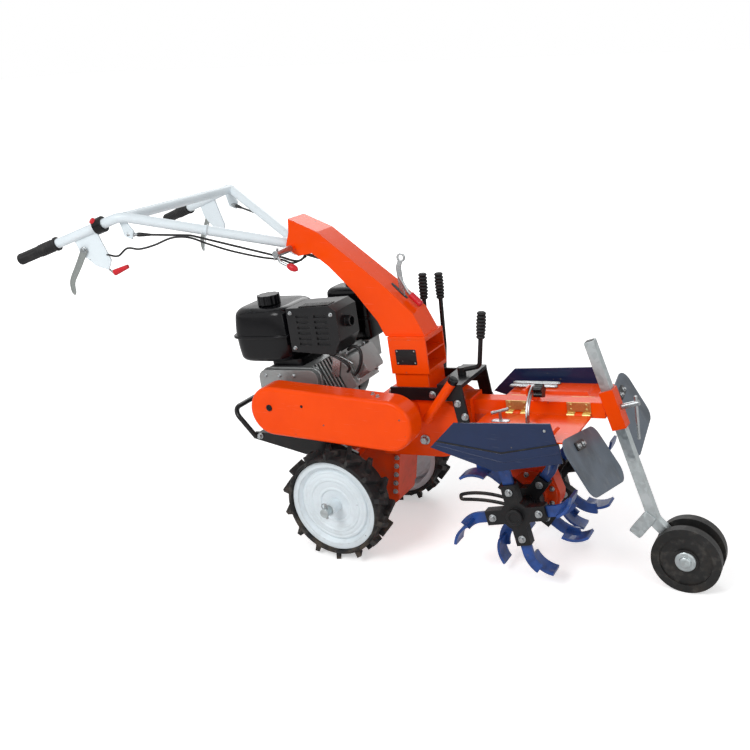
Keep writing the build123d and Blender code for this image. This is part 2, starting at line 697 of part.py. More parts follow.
# Column: a box open to the rotor, that turns on the pedestal by its pin
with BuildPart() as column:
    middle = (COLUMN_REAR + COLUMN_FRONT) / 2
    length = COLUMN_FRONT - COLUMN_REAR
    base = SWIVEL_Z + SLIDE_FIT
    with BuildSketch(level(base)):
        with Locations((middle, 0)):
            Rectangle(length, 2 * COLUMN_HALF_WIDTH)
    extrude(amount=COLUMN_TOP - base)
    inside = 2 * (COLUMN_HALF_WIDTH - COLUMN_WALL)
    shelf = base + COLUMN_FLOOR + COLUMN_SHELF
    for low, high in ((base + COLUMN_FLOOR, shelf), (shelf + COLUMN_WALL, COLUMN_TOP - COLUMN_WALL)):
        with BuildSketch(level(low)):
            with Locations((middle + COLUMN_WALL, 0)):
                Rectangle(length, inside)
        extrude(amount=high - low, mode=Mode.SUBTRACT)
    with BuildSketch(level(base)):
        with Locations((SWIVEL_X, 0)):
            Circle(SWIVEL_PIN)
    extrude(amount=-SWIVEL_PIN_DEPTH)
write("column", column)

# Arm: a folded channel from the column up to the handlebar's pivot, open below
slope = Vector(ARM_RIDGE[3][0] - ARM_RIDGE[2][0], ARM_RIDGE[3][1] - ARM_RIDGE[2][1])
ridge_run = slope.normalized()
ridge_out = Vector(-ridge_run.Y, ridge_run.X)


def on_ridge(share, stand):
    """A point of the arm's long slope in x and z, by its share of the slope and its height off it."""
    x = ARM_RIDGE[2][0] + share * slope.X + stand * ridge_out.X
    z = ARM_RIDGE[2][1] + share * slope.Y + stand * ridge_out.Y
    return x, z


with BuildPart() as arm:
    nose = ((PIVOT_X + 12, PIVOT_Z - 24), (PIVOT_X - 24, PIVOT_Z), (PIVOT_X - 8, PIVOT_Z + 40))
    foot = COLUMN_TOP + SEAT_GAP
    with BuildSketch(side(0)):
        Polygon(*ARM_RIDGE, *ARM_BELLY, *nose, align=None)
    extrude(amount=ARM_HALF_WIDTH, both=True)
    with BuildSketch(side(0)) as hollow:
        Polygon(*ARM_RIDGE, *ARM_BELLY, *nose, align=None)
        with BuildLine():
            Polyline(*ARM_RIDGE)
        trace(line_width=2 * ARM_WALL, mode=Mode.SUBTRACT)
    extrude(amount=ARM_HALF_WIDTH - ARM_WALL, both=True, mode=Mode.SUBTRACT)
    with BuildSketch(level(foot)):
        with Locations(((COLUMN_REAR + COLUMN_FRONT) / 2, 0)):
            Rectangle(COLUMN_FRONT - COLUMN_REAR, 2 * COLUMN_HALF_WIDTH)
    extrude(amount=ARM_FOOT)
    disc(PIVOT_X, PIVOT_Z, PIVOT_BOLT, -ARM_HALF_WIDTH - 14, ARM_HALF_WIDTH + 8)
write("arm", arm)

# Lock lever: a strap with an eye, standing on the arm's slope, and its red grip
grip_start = on_ridge(LOCK_GRIP_AT, LOCK_GRIP_STAND)
grip_end = on_ridge(LOCK_GRIP_AT + LOCK_GRIP_LENGTH / slope.length, LOCK_GRIP_STAND)
with BuildPart() as lock_lever:
    eye_x, eye_z = LOCK_EYE
    with BuildSketch(side(-LOCK_PLATE / 2)) as strap:
        Polygon(
            on_ridge(0.32, 2 * SEAT_GAP),
            on_ridge(0.50, 2 * SEAT_GAP),
            (eye_x - 4, eye_z - 26),
            (eye_x + 6, eye_z),
            (eye_x - 6, eye_z),
            (eye_x - 18, eye_z - 24),
            align=None,
        )
        with Locations((eye_x, eye_z)):
            Circle(LOCK_EYE_RADIUS)
            Circle(LOCK_EYE_RADIUS - 5, mode=Mode.SUBTRACT)
    extrude(strap.sketch, amount=-LOCK_PLATE)
    shank = on_ridge(LOCK_GRIP_AT - 0.1, LOCK_GRIP_STAND)
    rod([(eye_x - 12, 0, eye_z - 50), (shank[0], 0, shank[1]), (grip_start[0], 0, grip_start[1])], 4, 6)
write("lock_lever", lock_lever)

with BuildPart() as lock_grip:
    start = on_ridge(LOCK_GRIP_AT + SEAT_GAP / slope.length, LOCK_GRIP_STAND)
    rod([(start[0], 0, start[1]), (grip_end[0], 0, grip_end[1])], LOCK_GRIP_RADIUS)
write("lock_grip", lock_grip)

# Gear levers beside the column, and the short one on the hitch cover
lever_tops = []
with BuildPart() as gear_levers:
    foot_y = HITCH_INNER + HITCH_SHEET + SEAT_GAP + LEVER_ROD
    for foot_x, knee, top in LEVERS:
        rod([(foot_x, foot_y, LEVER_FOOT_Z), knee, top], LEVER_ROD, LEVER_BEND)
        lever_tops.append((knee, top))
    (boss_x, boss_z), (bend_x, bend_z), (top_x, top_z) = SHORT_LEVER
    with BuildSketch(level(HITCH_TOP + 10 + SEAT_GAP)):
        with Locations((boss_x, 0)):
            Circle(11)
    extrude(amount=20)
    rod([(boss_x, 0, boss_z), (bend_x, 0, bend_z), (top_x, 0, top_z)], LEVER_ROD, LEVER_BEND)
    lever_tops.append(((bend_x, 0, bend_z), (top_x, 0, top_z)))
write("gear_levers", gear_levers)

with BuildPart() as lever_grips:
    for knee, top in lever_tops:
        rise = (Vector(*top) - Vector(*knee)).normalized()
        start = Vector(*top) + rise * SEAT_GAP
        rod([tuple(start), tuple(start + rise * LEVER_GRIP_LENGTH)], LEVER_GRIP)
write("lever_grips", lever_grips)

# Handlebar: a boss on the pivot bolt, two spread tubes, a cross tube and the control brackets
grip_run = Vector(GRIP_X - BEND_X, GRIP_Y - BEND_Y, GRIP_Z - BEND_Z).normalized()


def tube_plane(hand):
    """The upright plane along a hand tube, with x from the bend towards the grip and y up."""
    along = heading(grip_run.X, hand * grip_run.Y, grip_run.Z)
    across_tube = along.cross(heading(0, 0, 1))
    return Plane(place(BEND_X, hand * BEND_Y, BEND_Z), x_dir=along, z_dir=across_tube)


with BuildPart() as handlebar:
    inner = ARM_HALF_WIDTH - ARM_WALL - SLIDE_FIT
    for _, hand in SIDES:
        tube = [
            (PIVOT_X - 6, hand * 4, PIVOT_Z),
            (BEND_X, hand * BEND_Y, BEND_Z),
            (GRIP_X, hand * GRIP_Y, GRIP_Z),
        ]
        rod(tube, BAR_RADIUS, BAR_BEND)
        with BuildSketch(tube_plane(hand)) as bracket:
            Polygon(*BRACKET, align=None)
        extrude(bracket.sketch, amount=BRACKET_SHEET / 2, both=True)
        plate(STAY, hand * (BEND_Y - STAY_INSET) - BRACKET_SHEET / 2, BRACKET_SHEET)
    rod([(BEND_X + 8, -BEND_Y + 8, BEND_Z - 3), (BEND_X + 8, BEND_Y - 8, BEND_Z - 3)], BAR_RADIUS)
    disc(PIVOT_X, PIVOT_Z, PIVOT_BOSS, -inner, inner)
    disc(PIVOT_X, PIVOT_Z, PIVOT_BOLT + RUNNING_FIT, -inner - 1, inner + 1, Mode.SUBTRACT)
write("handlebar", handlebar)

for name, hand in SIDES:
    end = Vector(GRIP_X, hand * GRIP_Y, GRIP_Z)
    along = Vector(grip_run.X, hand * grip_run.Y, grip_run.Z)
    with BuildPart() as grip:
        start = end - along * GRIP_LENGTH
        finish = end + along * GRIP_END
        rod([tuple(start), tuple(finish)], GRIP_RADIUS)
        rod([tuple(start), tuple(start + along * GRIP_COLLAR)], GRIP_RADIUS + GRIP_COLLAR / 2)
        seat = Plane(place(*start), z_dir=place(*finish) - place(*start))
        with BuildSketch(seat) as socket:
            Circle(BAR_RADIUS + SEAT_GAP)
        extrude(socket.sketch, amount=GRIP_LENGTH + SEAT_GAP, mode=Mode.SUBTRACT)
    write(f"{name}_grip", grip)

    with BuildPart() as hand_lever:
        stand = BRACKET_SHEET / 2 + SEAT_GAP
        with BuildLine(tube_plane(hand).offset(hand * (stand + LEVER_SHEET / 2))) as curve:
            FilletPolyline(*LEVER_PATH, radius=LEVER_BOW)
        with BuildSketch(Plane(curve.line @ 0, x_dir=tube_plane(hand).z_dir, z_dir=curve.line % 0)) as bar:
            Rectangle(LEVER_SHEET, LEVER_WIDTH)
        sweep(bar.sketch, path=curve.line)
        if hand < 0:
            with BuildLine(tube_plane(hand).offset(stand + THROTTLE_ROD)) as stem:
                Line(*THROTTLE_PATH[:2])
            with BuildSketch(Plane(stem.line @ 0, z_dir=stem.line % 0)) as wire:
                Circle(THROTTLE_ROD)
            sweep(wire.sketch, path=stem.line)
    write(f"{name}_lever", hand_lever)

# Switch on the right hand tube, and the small red-tipped lever under it
with BuildPart() as switch_box:
    along = Vector(grip_run.X, -grip_run.Y, grip_run.Z)
    start = Vector(BEND_X, -BEND_Y, BEND_Z) + along * SWITCH_AT
    ring = Plane(place(*start), z_dir=heading(*along))
    with BuildSketch(ring):
        Circle(SWITCH_RADIUS)
        Circle(BAR_RADIUS + SEAT_GAP, mode=Mode.SUBTRACT)
    extrude(amount=SWITCH_LENGTH)
write("switch_box", switch_box)

with BuildPart() as throttle_tip:
    lane = tube_plane(-1).offset(stand + THROTTLE_ROD)
    from_point = lane.from_local_coords(Vector(*THROTTLE_PATH[1]))
    tip_run = (lane.from_local_coords(Vector(*THROTTLE_PATH[2])) - from_point).normalized()
    with BuildSketch(Plane(from_point + tip_run * (THROTTLE_ROD + SEAT_GAP), z_dir=tip_run)):
        Circle(LOCK_GRIP_RADIUS)
    extrude(amount=THROTTLE_TIP, taper=4)
write("throttle_tip", throttle_tip)

# Clamp screw through the arm's tip, with its cranked handle and red knob
with BuildPart() as clamp_screw:
    screw_start = -ARM_HALF_WIDTH - 14 - SEAT_GAP
    disc(PIVOT_X, PIVOT_Z, CLAMP_RADIUS, screw_start, screw_start - CLAMP_REACH)
    crank_y = screw_start - CLAMP_REACH + 8
    crank = [(x, crank_y, z) for x, z in CLAMP_CRANK]
    rod(crank, 4, 12)
write("clamp_screw", clamp_screw)

with BuildPart() as clamp_knob:
    tail_run = (Vector(*crank[2]) - Vector(*crank[1])).normalized()
    neck = Vector(*crank[2]) + tail_run * SEAT_GAP
    with BuildSketch(Plane(place(*neck), z_dir=heading(*tail_run))):
        Circle(CLAMP_KNOB - 2)
    extrude(amount=30, taper=-5)
write("clamp_knob", clamp_knob)

# Control cables: along each handlebar tube, and on inside the arm
with BuildPart() as bar_cables:
    for _, hand in SIDES:
        rod([(x, hand * y, z) for x, y, z in BAR_CABLE], CABLE_RADIUS, CABLE_BEND)
write("bar_cables", bar_cables)

with BuildPart() as arm_cables:
    lane = ARM_HALF_WIDTH - ARM_WALL - SEAT_GAP - CABLE_RADIUS
    for _, hand in SIDES:
        rod([(x, hand * lane, z) for x, z in ARM_CABLE], CABLE_RADIUS, CABLE_BEND)
write("arm_cables", arm_cables)

# The mast's slant, and the sleeve that clamps it at the end of the hood's beam
mast_tilt = atan2(MAST_BEND[0] - MAST_TOP[0], MAST_TOP[1] - MAST_BEND[1])
mast_down = Vector(sin(mast_tilt), 0, -cos(mast_tilt))
mast_out = Vector(cos(mast_tilt), 0, sin(mast_tilt))
sleeve_z = BEAM_BOTTOM + BEAM_HALF
sleeve_x = MAST_TOP[0] + (MAST_TOP[1] - sleeve_z) * mast_down.X / -mast_down.Z
sleeve_half = MAST_HALF + SLIDE_FIT + SLEEVE_WALL


def mast_plane(x, z):
    """The plane square to the mast at a point of its line, with x across the machine."""
    return Plane(place(x, 0, z), x_dir=(0, 1, 0), z_dir=heading(*mast_down))


# Hood: a square beam from the gearbox out to the mast sleeve
with BuildPart() as hood_beam:
    with BuildSketch(across(GEARBOX_FRONT + SEAT_GAP)):
        with Locations((0, BEAM_BOTTOM + BEAM_HALF)):
            Rectangle(2 * BEAM_HALF, 2 * BEAM_HALF)
    extrude(amount=sleeve_x - sleeve_half - GEARBOX_FRONT)
    with BuildSketch(mast_plane(sleeve_x, sleeve_z)):
        Rectangle(4 * BEAM_HALF, 2 * (sleeve_half + SEAT_GAP))
    extrude(amount=SLEEVE_LENGTH, both=True, mode=Mode.SUBTRACT)
write("hood_beam", hood_beam)

with BuildPart() as mast_sleeve:
    with BuildSketch(mast_plane(sleeve_x, sleeve_z)):
        Rectangle(2 * sleeve_half, 2 * sleeve_half)
        Rectangle(2 * (MAST_HALF + SLIDE_FIT), 2 * (MAST_HALF + SLIDE_FIT), mode=Mode.SUBTRACT)
    extrude(amount=SLEEVE_LENGTH / 2, both=True)
write("mast_sleeve", mast_sleeve)

# Clamp screw of the sleeve, with its loose tommy bar hanging down
with BuildPart() as sleeve_screw:
    nose = Vector(sleeve_x, 0, sleeve_z) + mast_out * (sleeve_half + SEAT_GAP)
    head = nose + mast_out * SCREW_LENGTH
    rod([tuple(nose), tuple(head)], SCREW_RADIUS)
    hang = nose + mast_out * (SCREW_LENGTH - 2 * TOMMY_RADIUS)
    rod([(hang.X, 0, hang.Z + TOMMY_LENGTH / 6), (hang.X, 0, hang.Z - TOMMY_LENGTH * 5 / 6)], TOMMY_RADIUS)
write("sleeve_screw", sleeve_screw)

with BuildPart() as chain_case:
    rear = GEARBOX_FRONT + SEAT_GAP
    top = BEAM_BOTTOM - SEAT_GAP
    with BuildSketch(side(0)):
        with BuildLine():
            Polyline(
                (ROTOR_X - CHAIN_CASE_RADIUS, ROTOR_Z),
                (rear, NECK_BOTTOM),
                (rear, top),
                (ROTOR_X, top),
                (ROTOR_X + CHAIN_CASE_RADIUS, ROTOR_Z),
            )
            ThreePointArc(
                (ROTOR_X + CHAIN_CASE_RADIUS, ROTOR_Z),
                (ROTOR_X, ROTOR_Z - CHAIN_CASE_RADIUS),
                (ROTOR_X - CHAIN_CASE_RADIUS, ROTOR_Z),
            )
        make_face()
    extrude(amount=CHAIN_CASE_HALF - CHAIN_CASE_LIP, both=True)
    disc(ROTOR_X, ROTOR_Z, CHAIN_CASE_RADIUS - CHAIN_CASE_LIP, CHAIN_CASE_HALF, -CHAIN_CASE_HALF)
    disc(ROTOR_X, ROTOR_Z, ROTOR_SHAFT + 14, CHAIN_BOSS_HALF, -CHAIN_BOSS_HALF)
    disc(ROTOR_X, ROTOR_Z, ROTOR_SHAFT + RUNNING_FIT, CHAIN_BOSS_HALF, -CHAIN_BOSS_HALF, Mode.SUBTRACT)
write("chain_case", chain_case)

# Wings, shields and flaps of the hood, on hinges along the beam
hinge_y = BEAM_HALF + HINGE_RADIUS + SEAT_GAP
hinge_z = WING_Z + WING_SHEET / 2


def flap_plane(hand):
    """The flap's middle plane, with x along its top edge inwards and y down it."""
    outer = place(FLAP_OUTER_TOP[0], hand * FLAP_OUTER_TOP[1], FLAP_OUTER_TOP[2])
    inner = place(FLAP_INNER_TOP[0], hand * FLAP_INNER_TOP[1], FLAP_INNER_TOP[2])
    low = place(FLAP_OUTER_LOW[0], hand * FLAP_OUTER_LOW[1], FLAP_OUTER_LOW[2])
    return Plane(outer, x_dir=inner - outer, z_dir=(inner - outer).cross(low - outer))


for name, hand in SIDES:
    with BuildPart() as hinge:
        leaf_y = hand * (BEAM_HALF + SEAT_GAP + 1)
        leaf_z = hinge_z + HINGE_RADIUS + 2
        for x in HINGE_PLACES:
            with BuildSketch(across(x)) as pin:
                with Locations((hand * hinge_y, hinge_z)):
                    Circle(HINGE_PIN)
                with Locations((leaf_y, leaf_z + HINGE_LEAF / 2)):
                    Rectangle(2, HINGE_LEAF)
            extrude(pin.sketch, amount=HINGE_LENGTH)
            for start in (x, x + HINGE_LENGTH * 2 / 3):
                with BuildSketch(across(start)) as knuckle:
                    with Locations((hand * hinge_y, hinge_z)):
                        Circle(HINGE_RADIUS)
                    with Locations((leaf_y, (hinge_z + leaf_z) / 2)):
                        Rectangle(2, leaf_z - hinge_z + 2)
                extrude(knuckle.sketch, amount=HINGE_LENGTH / 3)
    write(f"{name}_hinge", hinge)

    front = flap_plane(hand)
    facing = 1 if front.z_dir.X > 0 else -1
    behind = front.offset(-facing * (FLAP_SHEET / 2 + SEAT_GAP))
    width = hypot(
        FLAP_OUTER_TOP[0] - FLAP_INNER_TOP[0],
        FLAP_OUTER_TOP[1] - FLAP_INNER_TOP[1],
        FLAP_OUTER_TOP[2] - FLAP_INNER_TOP[2],
    )

    with BuildPart() as wing:
        with BuildSketch(level(WING_Z)):
            with Locations(((WING_REAR + WING_FRONT) / 2, hand * (WING_INNER + WING_OUTER) / 2)):
                Rectangle(WING_FRONT - WING_REAR, WING_OUTER - WING_INNER)
        extrude(amount=WING_SHEET)
        with BuildSketch(level(WING_Z + WING_SHEET)):
            with Locations(((WING_REAR + WING_FRONT) / 2 - 10, hand * (WING_INNER + 3 * WING_OUTER) / 4 - hand * 12)):
                Rectangle((WING_FRONT - WING_REAR) * 0.7, (WING_OUTER - WING_INNER) * 0.4)
        extrude(amount=WING_RIB, taper=40)
        with BuildSketch(behind) as lip:
            with Locations((width * 0.6, 28)):
                Rectangle(width * 0.36, 56)
        extrude(lip.sketch, amount=-facing * WING_SHEET)
        for x in HINGE_PLACES:
            with BuildSketch(across(x + HINGE_LENGTH / 3 + SLIDE_FIT)) as eye:
                with Locations((hand * hinge_y, hinge_z)):
                    Circle(HINGE_RADIUS)
                with Locations((hand * (hinge_y + WING_INNER) / 2, hinge_z)):
                    Rectangle(WING_INNER - hinge_y + 2, WING_SHEET)
            extrude(eye.sketch, amount=HINGE_LENGTH / 3 - 2 * SLIDE_FIT)
        with BuildSketch(across(WING_REAR)) as pin_path:
            with Locations((hand * hinge_y, hinge_z)):
                Circle(HINGE_PIN + RUNNING_FIT)
        extrude(pin_path.sketch, amount=WING_FRONT - WING_REAR, mode=Mode.SUBTRACT)
        with BuildSketch(behind) as clearing:
            with Locations((width / 2, 40)):
                Rectangle(2 * width, 400)
        extrude(clearing.sketch, amount=facing * WING_FRONT, mode=Mode.SUBTRACT)
    write(f"{name}_wing", wing)

    with BuildPart() as shield:
        inside_face = hand * (WING_OUTER + SEAT_GAP)
        plate([*SHIELD_TOP, *reversed(SHIELD_FOOT)], inside_face, hand * SHIELD_SHEET)
        step_face = inside_face + hand * SHIELD_SHEET
        plate([*SHIELD_SEAM, *SHIELD_FOOT], step_face, hand * SHIELD_STEP)
    write(f"{name}_shield", shield)

    with BuildPart() as flap:
        corners = []
        for corner in (FLAP_OUTER_TOP, FLAP_INNER_TOP, FLAP_INNER_LOW, FLAP_OUTER_LOW):
            local = front.to_local_coords(place(corner[0], hand * corner[1], corner[2]))
            corners.append((local.X, local.Y))
        with BuildSketch(front):
            with BuildLine():
                FilletPolyline(*corners, radius=FLAP_CORNER, close=True)
            make_face()
        extrude(amount=FLAP_SHEET / 2, both=True)
    write(f"{name}_flap", flap)

# Quadrant on the right wing: a slotted arc about the hinge line, held by a knob on the beam


def around_hinge(radius, angle):
    """A point about the right hinge line, in the plane across the machine, from outwards to upwards."""
    return -hinge_y - radius * cos(radians(angle)), hinge_z + radius * sin(radians(angle))


def arc_strip(width, span):
    """The closed outline of an arc about the right hinge line."""
    near, far = QUADRANT_RADIUS - width / 2, QUADRANT_RADIUS + width / 2
    first, last = span
    mid = (first + last) / 2
    ThreePointArc(around_hinge(near, first), around_hinge(near, mid), around_hinge(near, last))
    Line(around_hinge(near, last), around_hinge(far, last))
    ThreePointArc(around_hinge(far, last), around_hinge(far, mid), around_hinge(far, first))
    Line(around_hinge(far, first), around_hinge(near, first))


with BuildPart() as quadrant:
    with BuildSketch(across(QUADRANT_X)):
        with BuildLine():
            arc_strip(QUADRANT_WIDTH, QUADRANT_SPAN)
        make_face()
        with BuildLine():
            arc_strip(QUADRANT_SLOT, SLOT_SPAN)
        make_face(mode=Mode.SUBTRACT)
    extrude(amount=QUADRANT_SHEET)
write("quadrant", quadrant)

knob_y, knob_z = around_hinge(QUADRANT_RADIUS, KNOB_ANGLE)
with BuildPart() as knob_bracket:
    with BuildSketch(across(QUADRANT_X - 5)):
        Polygon(
            (BEAM_HALF, BEAM_BOTTOM + 2 * BEAM_HALF + SEAT_GAP),
            (BEAM_HALF, BEAM_BOTTOM + 2 * BEAM_HALF + 12),
            (knob_y + 14, knob_z + 10),
            (knob_y - 10, knob_z + 10),
            (knob_y - 10, knob_z - 10),
            (-BEAM_HALF, BEAM_BOTTOM + 2 * BEAM_HALF + SEAT_GAP),
            align=None,
        )
    extrude(amount=-5)
    with BuildSketch(across(QUADRANT_X - 6)) as bolt:
        with Locations((knob_y, knob_z)):
            Circle(KNOB_BOLT)
    extrude(bolt.sketch, amount=QUADRANT_SHEET + 12)
write("knob_bracket", knob_bracket)

with BuildPart() as star_knob:
    with BuildSketch(across(QUADRANT_X + QUADRANT_SHEET + 6 + SEAT_GAP)):
        with Locations((knob_y, knob_z)):
            Circle(KNOB_RADIUS - 4)
            with PolarLocations(KNOB_RADIUS - 5, KNOB_LOBES):
                Circle(6)
    extrude(amount=KNOB_LENGTH)
write("star_knob", star_knob)


# Rotor: a shaft with bolted holders, and L-shaped tines that sit in the holders' sockets
def spoke(y, angle):
    """The plane at y that faces right, with x out along a spoke of the rotor."""
    out = heading(cos(radians(angle)), 0, sin(radians(angle)))
    return Plane(origin=place(ROTOR_X, y, ROTOR_Z), x_dir=out, z_dir=(0, -1, 0))


def curl(radius, turn):
    """A point of a tine's curl: radius from the curl's middle, turned from the straight root."""
    return TINE_STRAIGHT + radius * sin(radians(turn)), TINE_CURL - radius * cos(radians(turn))


def curl_band(width, first, last):
    """The closed outline of a band along a tine's curl."""
    near, far = TINE_CURL - width / 2, TINE_CURL + width / 2
    mid = (first + last) / 2
    ThreePointArc(curl(near, first), curl(near, mid), curl(near, last))
    Line(curl(near, last), curl(far, last))
    ThreePointArc(curl(far, last), curl(far, mid), curl(far, first))
    Line(curl(far, first), curl(near, first))


def spokes(y, phase):
    """The planes of one row's tines."""
    return [spoke(y, phase + 360 * tine / TINES_PER_ROW) for tine in range(TINES_PER_ROW)]


with BuildPart() as rotor_shaft:
    disc(ROTOR_X, ROTOR_Z, ROTOR_SHAFT, -ROTOR_OUTER, ROTOR_OUTER)
    for distance, phase in ROWS:
        for _, hand in SIDES:
            y = hand * distance
            disc(ROTOR_X, ROTOR_Z, HOLDER_RADIUS, y - HOLDER_THICKNESS / 2, y + HOLDER_THICKNESS / 2)
            with BuildSketch(*spokes(y, phase)) as sockets:
                with Locations((SOCKET_REACH / 2, 0)):
                    Rectangle(SOCKET_REACH, TINE_WIDTH + 2 * SOCKET_WALL)
            extrude(sockets.sketch, amount=HOLDER_THICKNESS / 2, both=True)
            with BuildSketch(*spokes(y, phase)) as pockets:
                with Locations(((TINE_ROOT + TINE_STRAIGHT) / 2 - SEAT_GAP, 0)):
                    Rectangle(TINE_STRAIGHT - TINE_ROOT, TINE_WIDTH + 2 * SEAT_GAP)
            extrude(pockets.sketch, amount=TINE_THICKNESS / 2 + SEAT_GAP, both=True, mode=Mode.SUBTRACT)
write("rotor_shaft", rotor_shaft)

for name, hand in SIDES:
    with BuildPart() as tines:
        for distance, phase in ROWS:
            row = spokes(hand * distance, phase)
            with BuildSketch(*row) as shanks:
                with Locations(((TINE_ROOT + TINE_STRAIGHT) / 2, 0)):
                    Rectangle(TINE_STRAIGHT - TINE_ROOT, TINE_WIDTH)
                with BuildLine():
                    curl_band(TINE_WIDTH, 0, TINE_TURN * 0.6)
                make_face()
            extrude(shanks.sketch, amount=TINE_THICKNESS / 2, both=True)
            for tine, plane in enumerate(row):
                outwards = 1 if tine % 2 == 0 or distance == ROWS[0][0] else -1
                with BuildSketch(plane) as blade:
                    with BuildLine():
                        curl_band(BLADE_THICKNESS, BLADE_START, TINE_TURN)
                    make_face()
                extrude(blade.sketch, amount=-hand * outwards * (BLADE_REACH + TINE_THICKNESS / 2))
    write(f"{name}_tines", tines)

# Tail: bent mast and a pair of small wheels
with BuildPart() as tail_mast:
    with BuildLine(BODY) as mast_line:
        FilletPolyline(
            (MAST_TOP[0], 0, MAST_TOP[1]),
            (MAST_BEND[0], 0, MAST_BEND[1]),
            (TAIL_X, 0, TAIL_Z),
            radius=MAST_ROUND,
        )
    with BuildSketch(Plane(mast_line.line @ 0, x_dir=(0, 1, 0), z_dir=mast_line.line % 0)) as tube:
        Rectangle(2 * MAST_HALF, 2 * MAST_HALF)
    sweep(tube.sketch, path=mast_line.line)
    axle_end = TAIL_WHEEL_GAP + TAIL_WHEEL_WIDTH + 6
    disc(TAIL_X, TAIL_Z, 16, -MAST_HALF - 2, MAST_HALF + 2)
    disc(TAIL_X, TAIL_Z, TAIL_AXLE, -axle_end, axle_end)
write("tail_mast", tail_mast)

with BuildPart() as tail_wheels:
    for _, hand in SIDES:
        inner = hand * TAIL_WHEEL_GAP
        outer = hand * (TAIL_WHEEL_GAP + TAIL_WHEEL_WIDTH)
        disc(TAIL_X, TAIL_Z, TAIL_RADIUS, inner, outer)
        disc(TAIL_X, TAIL_Z, TAIL_RADIUS * 0.76, outer, outer - hand * TAIL_DISH, Mode.SUBTRACT)
        disc(TAIL_X, TAIL_Z, TAIL_RADIUS * 0.36, outer, outer - hand * TAIL_DISH)
        disc(TAIL_X, TAIL_Z, TAIL_AXLE + RUNNING_FIT, inner, outer, Mode.SUBTRACT)
write("tail_wheels", tail_wheels)
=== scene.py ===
# %% [markdown]
# # Dressing a walk-behind ditching machine
#
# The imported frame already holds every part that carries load. What it lacks is what the eye reads
# as "real": paint with a skin, zinc with flakes, dusty rubber, and the small fasteners. We load the
# frame, note its size, and add those layers one at a time.

# %% Load the frame
import json
import math

import bpy
import numpy as np
from mathutils import Matrix


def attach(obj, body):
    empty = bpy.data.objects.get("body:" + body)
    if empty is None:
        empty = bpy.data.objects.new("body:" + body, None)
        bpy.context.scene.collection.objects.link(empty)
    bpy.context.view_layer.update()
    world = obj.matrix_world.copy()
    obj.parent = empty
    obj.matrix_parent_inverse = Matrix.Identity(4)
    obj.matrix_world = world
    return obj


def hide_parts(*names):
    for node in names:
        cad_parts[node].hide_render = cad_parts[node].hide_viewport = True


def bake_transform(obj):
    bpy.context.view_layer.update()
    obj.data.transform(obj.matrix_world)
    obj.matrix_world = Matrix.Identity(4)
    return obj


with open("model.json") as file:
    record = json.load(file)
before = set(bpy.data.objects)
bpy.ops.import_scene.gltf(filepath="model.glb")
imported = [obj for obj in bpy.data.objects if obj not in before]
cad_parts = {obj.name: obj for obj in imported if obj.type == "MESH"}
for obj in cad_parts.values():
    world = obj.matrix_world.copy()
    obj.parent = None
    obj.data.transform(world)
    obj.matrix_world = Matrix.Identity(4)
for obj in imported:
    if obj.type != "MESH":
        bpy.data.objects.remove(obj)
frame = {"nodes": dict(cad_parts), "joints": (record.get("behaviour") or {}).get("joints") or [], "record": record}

scene = bpy.context.scene
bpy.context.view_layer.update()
print("nodes in the frame:", len(frame["nodes"]))

# %% [markdown]
# The machine stands tipped on its tail wheel, so its axes are turned a little from the floor's. We
# read that angle from the frame: the column's swivel axis is the body's "up". With it and the wheel
# axle's middle, `body(x, y, z)` turns millimetres on the machine into metres in the frame.

# %% Places on the tipped body
MM = 0.001
JOINTS = {joint["name"]: joint for joint in frame["joints"]}
UP = np.array(JOINTS["arm_swivel"]["axis"], float)
ALONG = np.array([UP[2], 0.0, -UP[0]])
ACROSS = np.array([0.0, 1.0, 0.0])
AXLE = np.array(JOINTS["right_wheel_spin"]["pos_m"], float) * (1, 0, 1)
SIDES = (("right", -1), ("left", 1))


def heading(x, y, z):
    """A direction of the body, of any length, in the frame's axes."""
    parts = np.broadcast_arrays(*(np.asarray(part, float) for part in (x, y, z)))
    return parts[0][..., None] * ALONG + parts[1][..., None] * ACROSS + parts[2][..., None] * UP


def body(x, y, z):
    """A place on the body in mm, as metres in the frame: axle + x along + y across + z up."""
    return AXLE + MM * heading(x, y, z)


def sided(place, hand):
    """A place given for the left side: there with hand 1, and across from it with hand -1."""
    return body(place[0], hand * place[1], place[2])


def between(first, second, share):
    """The place at a share of the way from first to second."""
    return np.add(first, share * np.subtract(second, first))


def on_ring(middle, radius, angle):
    """The x and z on a ring: its middle plus radius times the cosine and the sine."""
    return middle[0] + radius * np.cos(angle), middle[1] + radius * np.sin(angle)


def unit(vector):
    """The vector scaled to length one."""
    vector = np.asarray(vector, float)
    return vector / np.linalg.norm(vector, axis=-1, keepdims=True)


def beside(run):
    """Two directions square to a run: to its left, and up from it."""
    left = unit(np.cross(run, UP))
    return left, np.cross(left, run)


def upright(first, second):
    """The direction from one (x, z) to another in the body's upright plane, at length one."""
    x, z = np.subtract(second, first)
    return unit(heading(x, 0.0, z))


def tilted(degrees):
    """Two directions square to each other in that plane, the first so far above `ALONG`."""
    x, z = math.cos(math.radians(degrees)), math.sin(math.radians(degrees))
    return heading(x, 0.0, z), heading(-z, 0.0, x)


print("pitch of the body in degrees:", round(math.degrees(math.atan2(-UP[0], UP[2])), 2))

# %% [markdown]
# ## Stage, light and camera
#
# A catalogue picture has a white ground and soft light from large panels. The floor is a plain
# sheet that keeps the shadow.

# %% Floor and lamps
FLOOR_HALF = 40.0
LAMPS = (  # name, place, aim, size, watts
    ("key", (-0.9, -3.2, 3.0), (0.0, 0.0, 0.4), 1.8, 88.0),
    ("fill", (3.2, -1.6, 2.0), (0.2, 0.0, 0.4), 2.2, 30.0),
    ("back", (-1.2, 3.0, 2.6), (0.0, 0.0, 0.5), 2.0, 40.0),
)


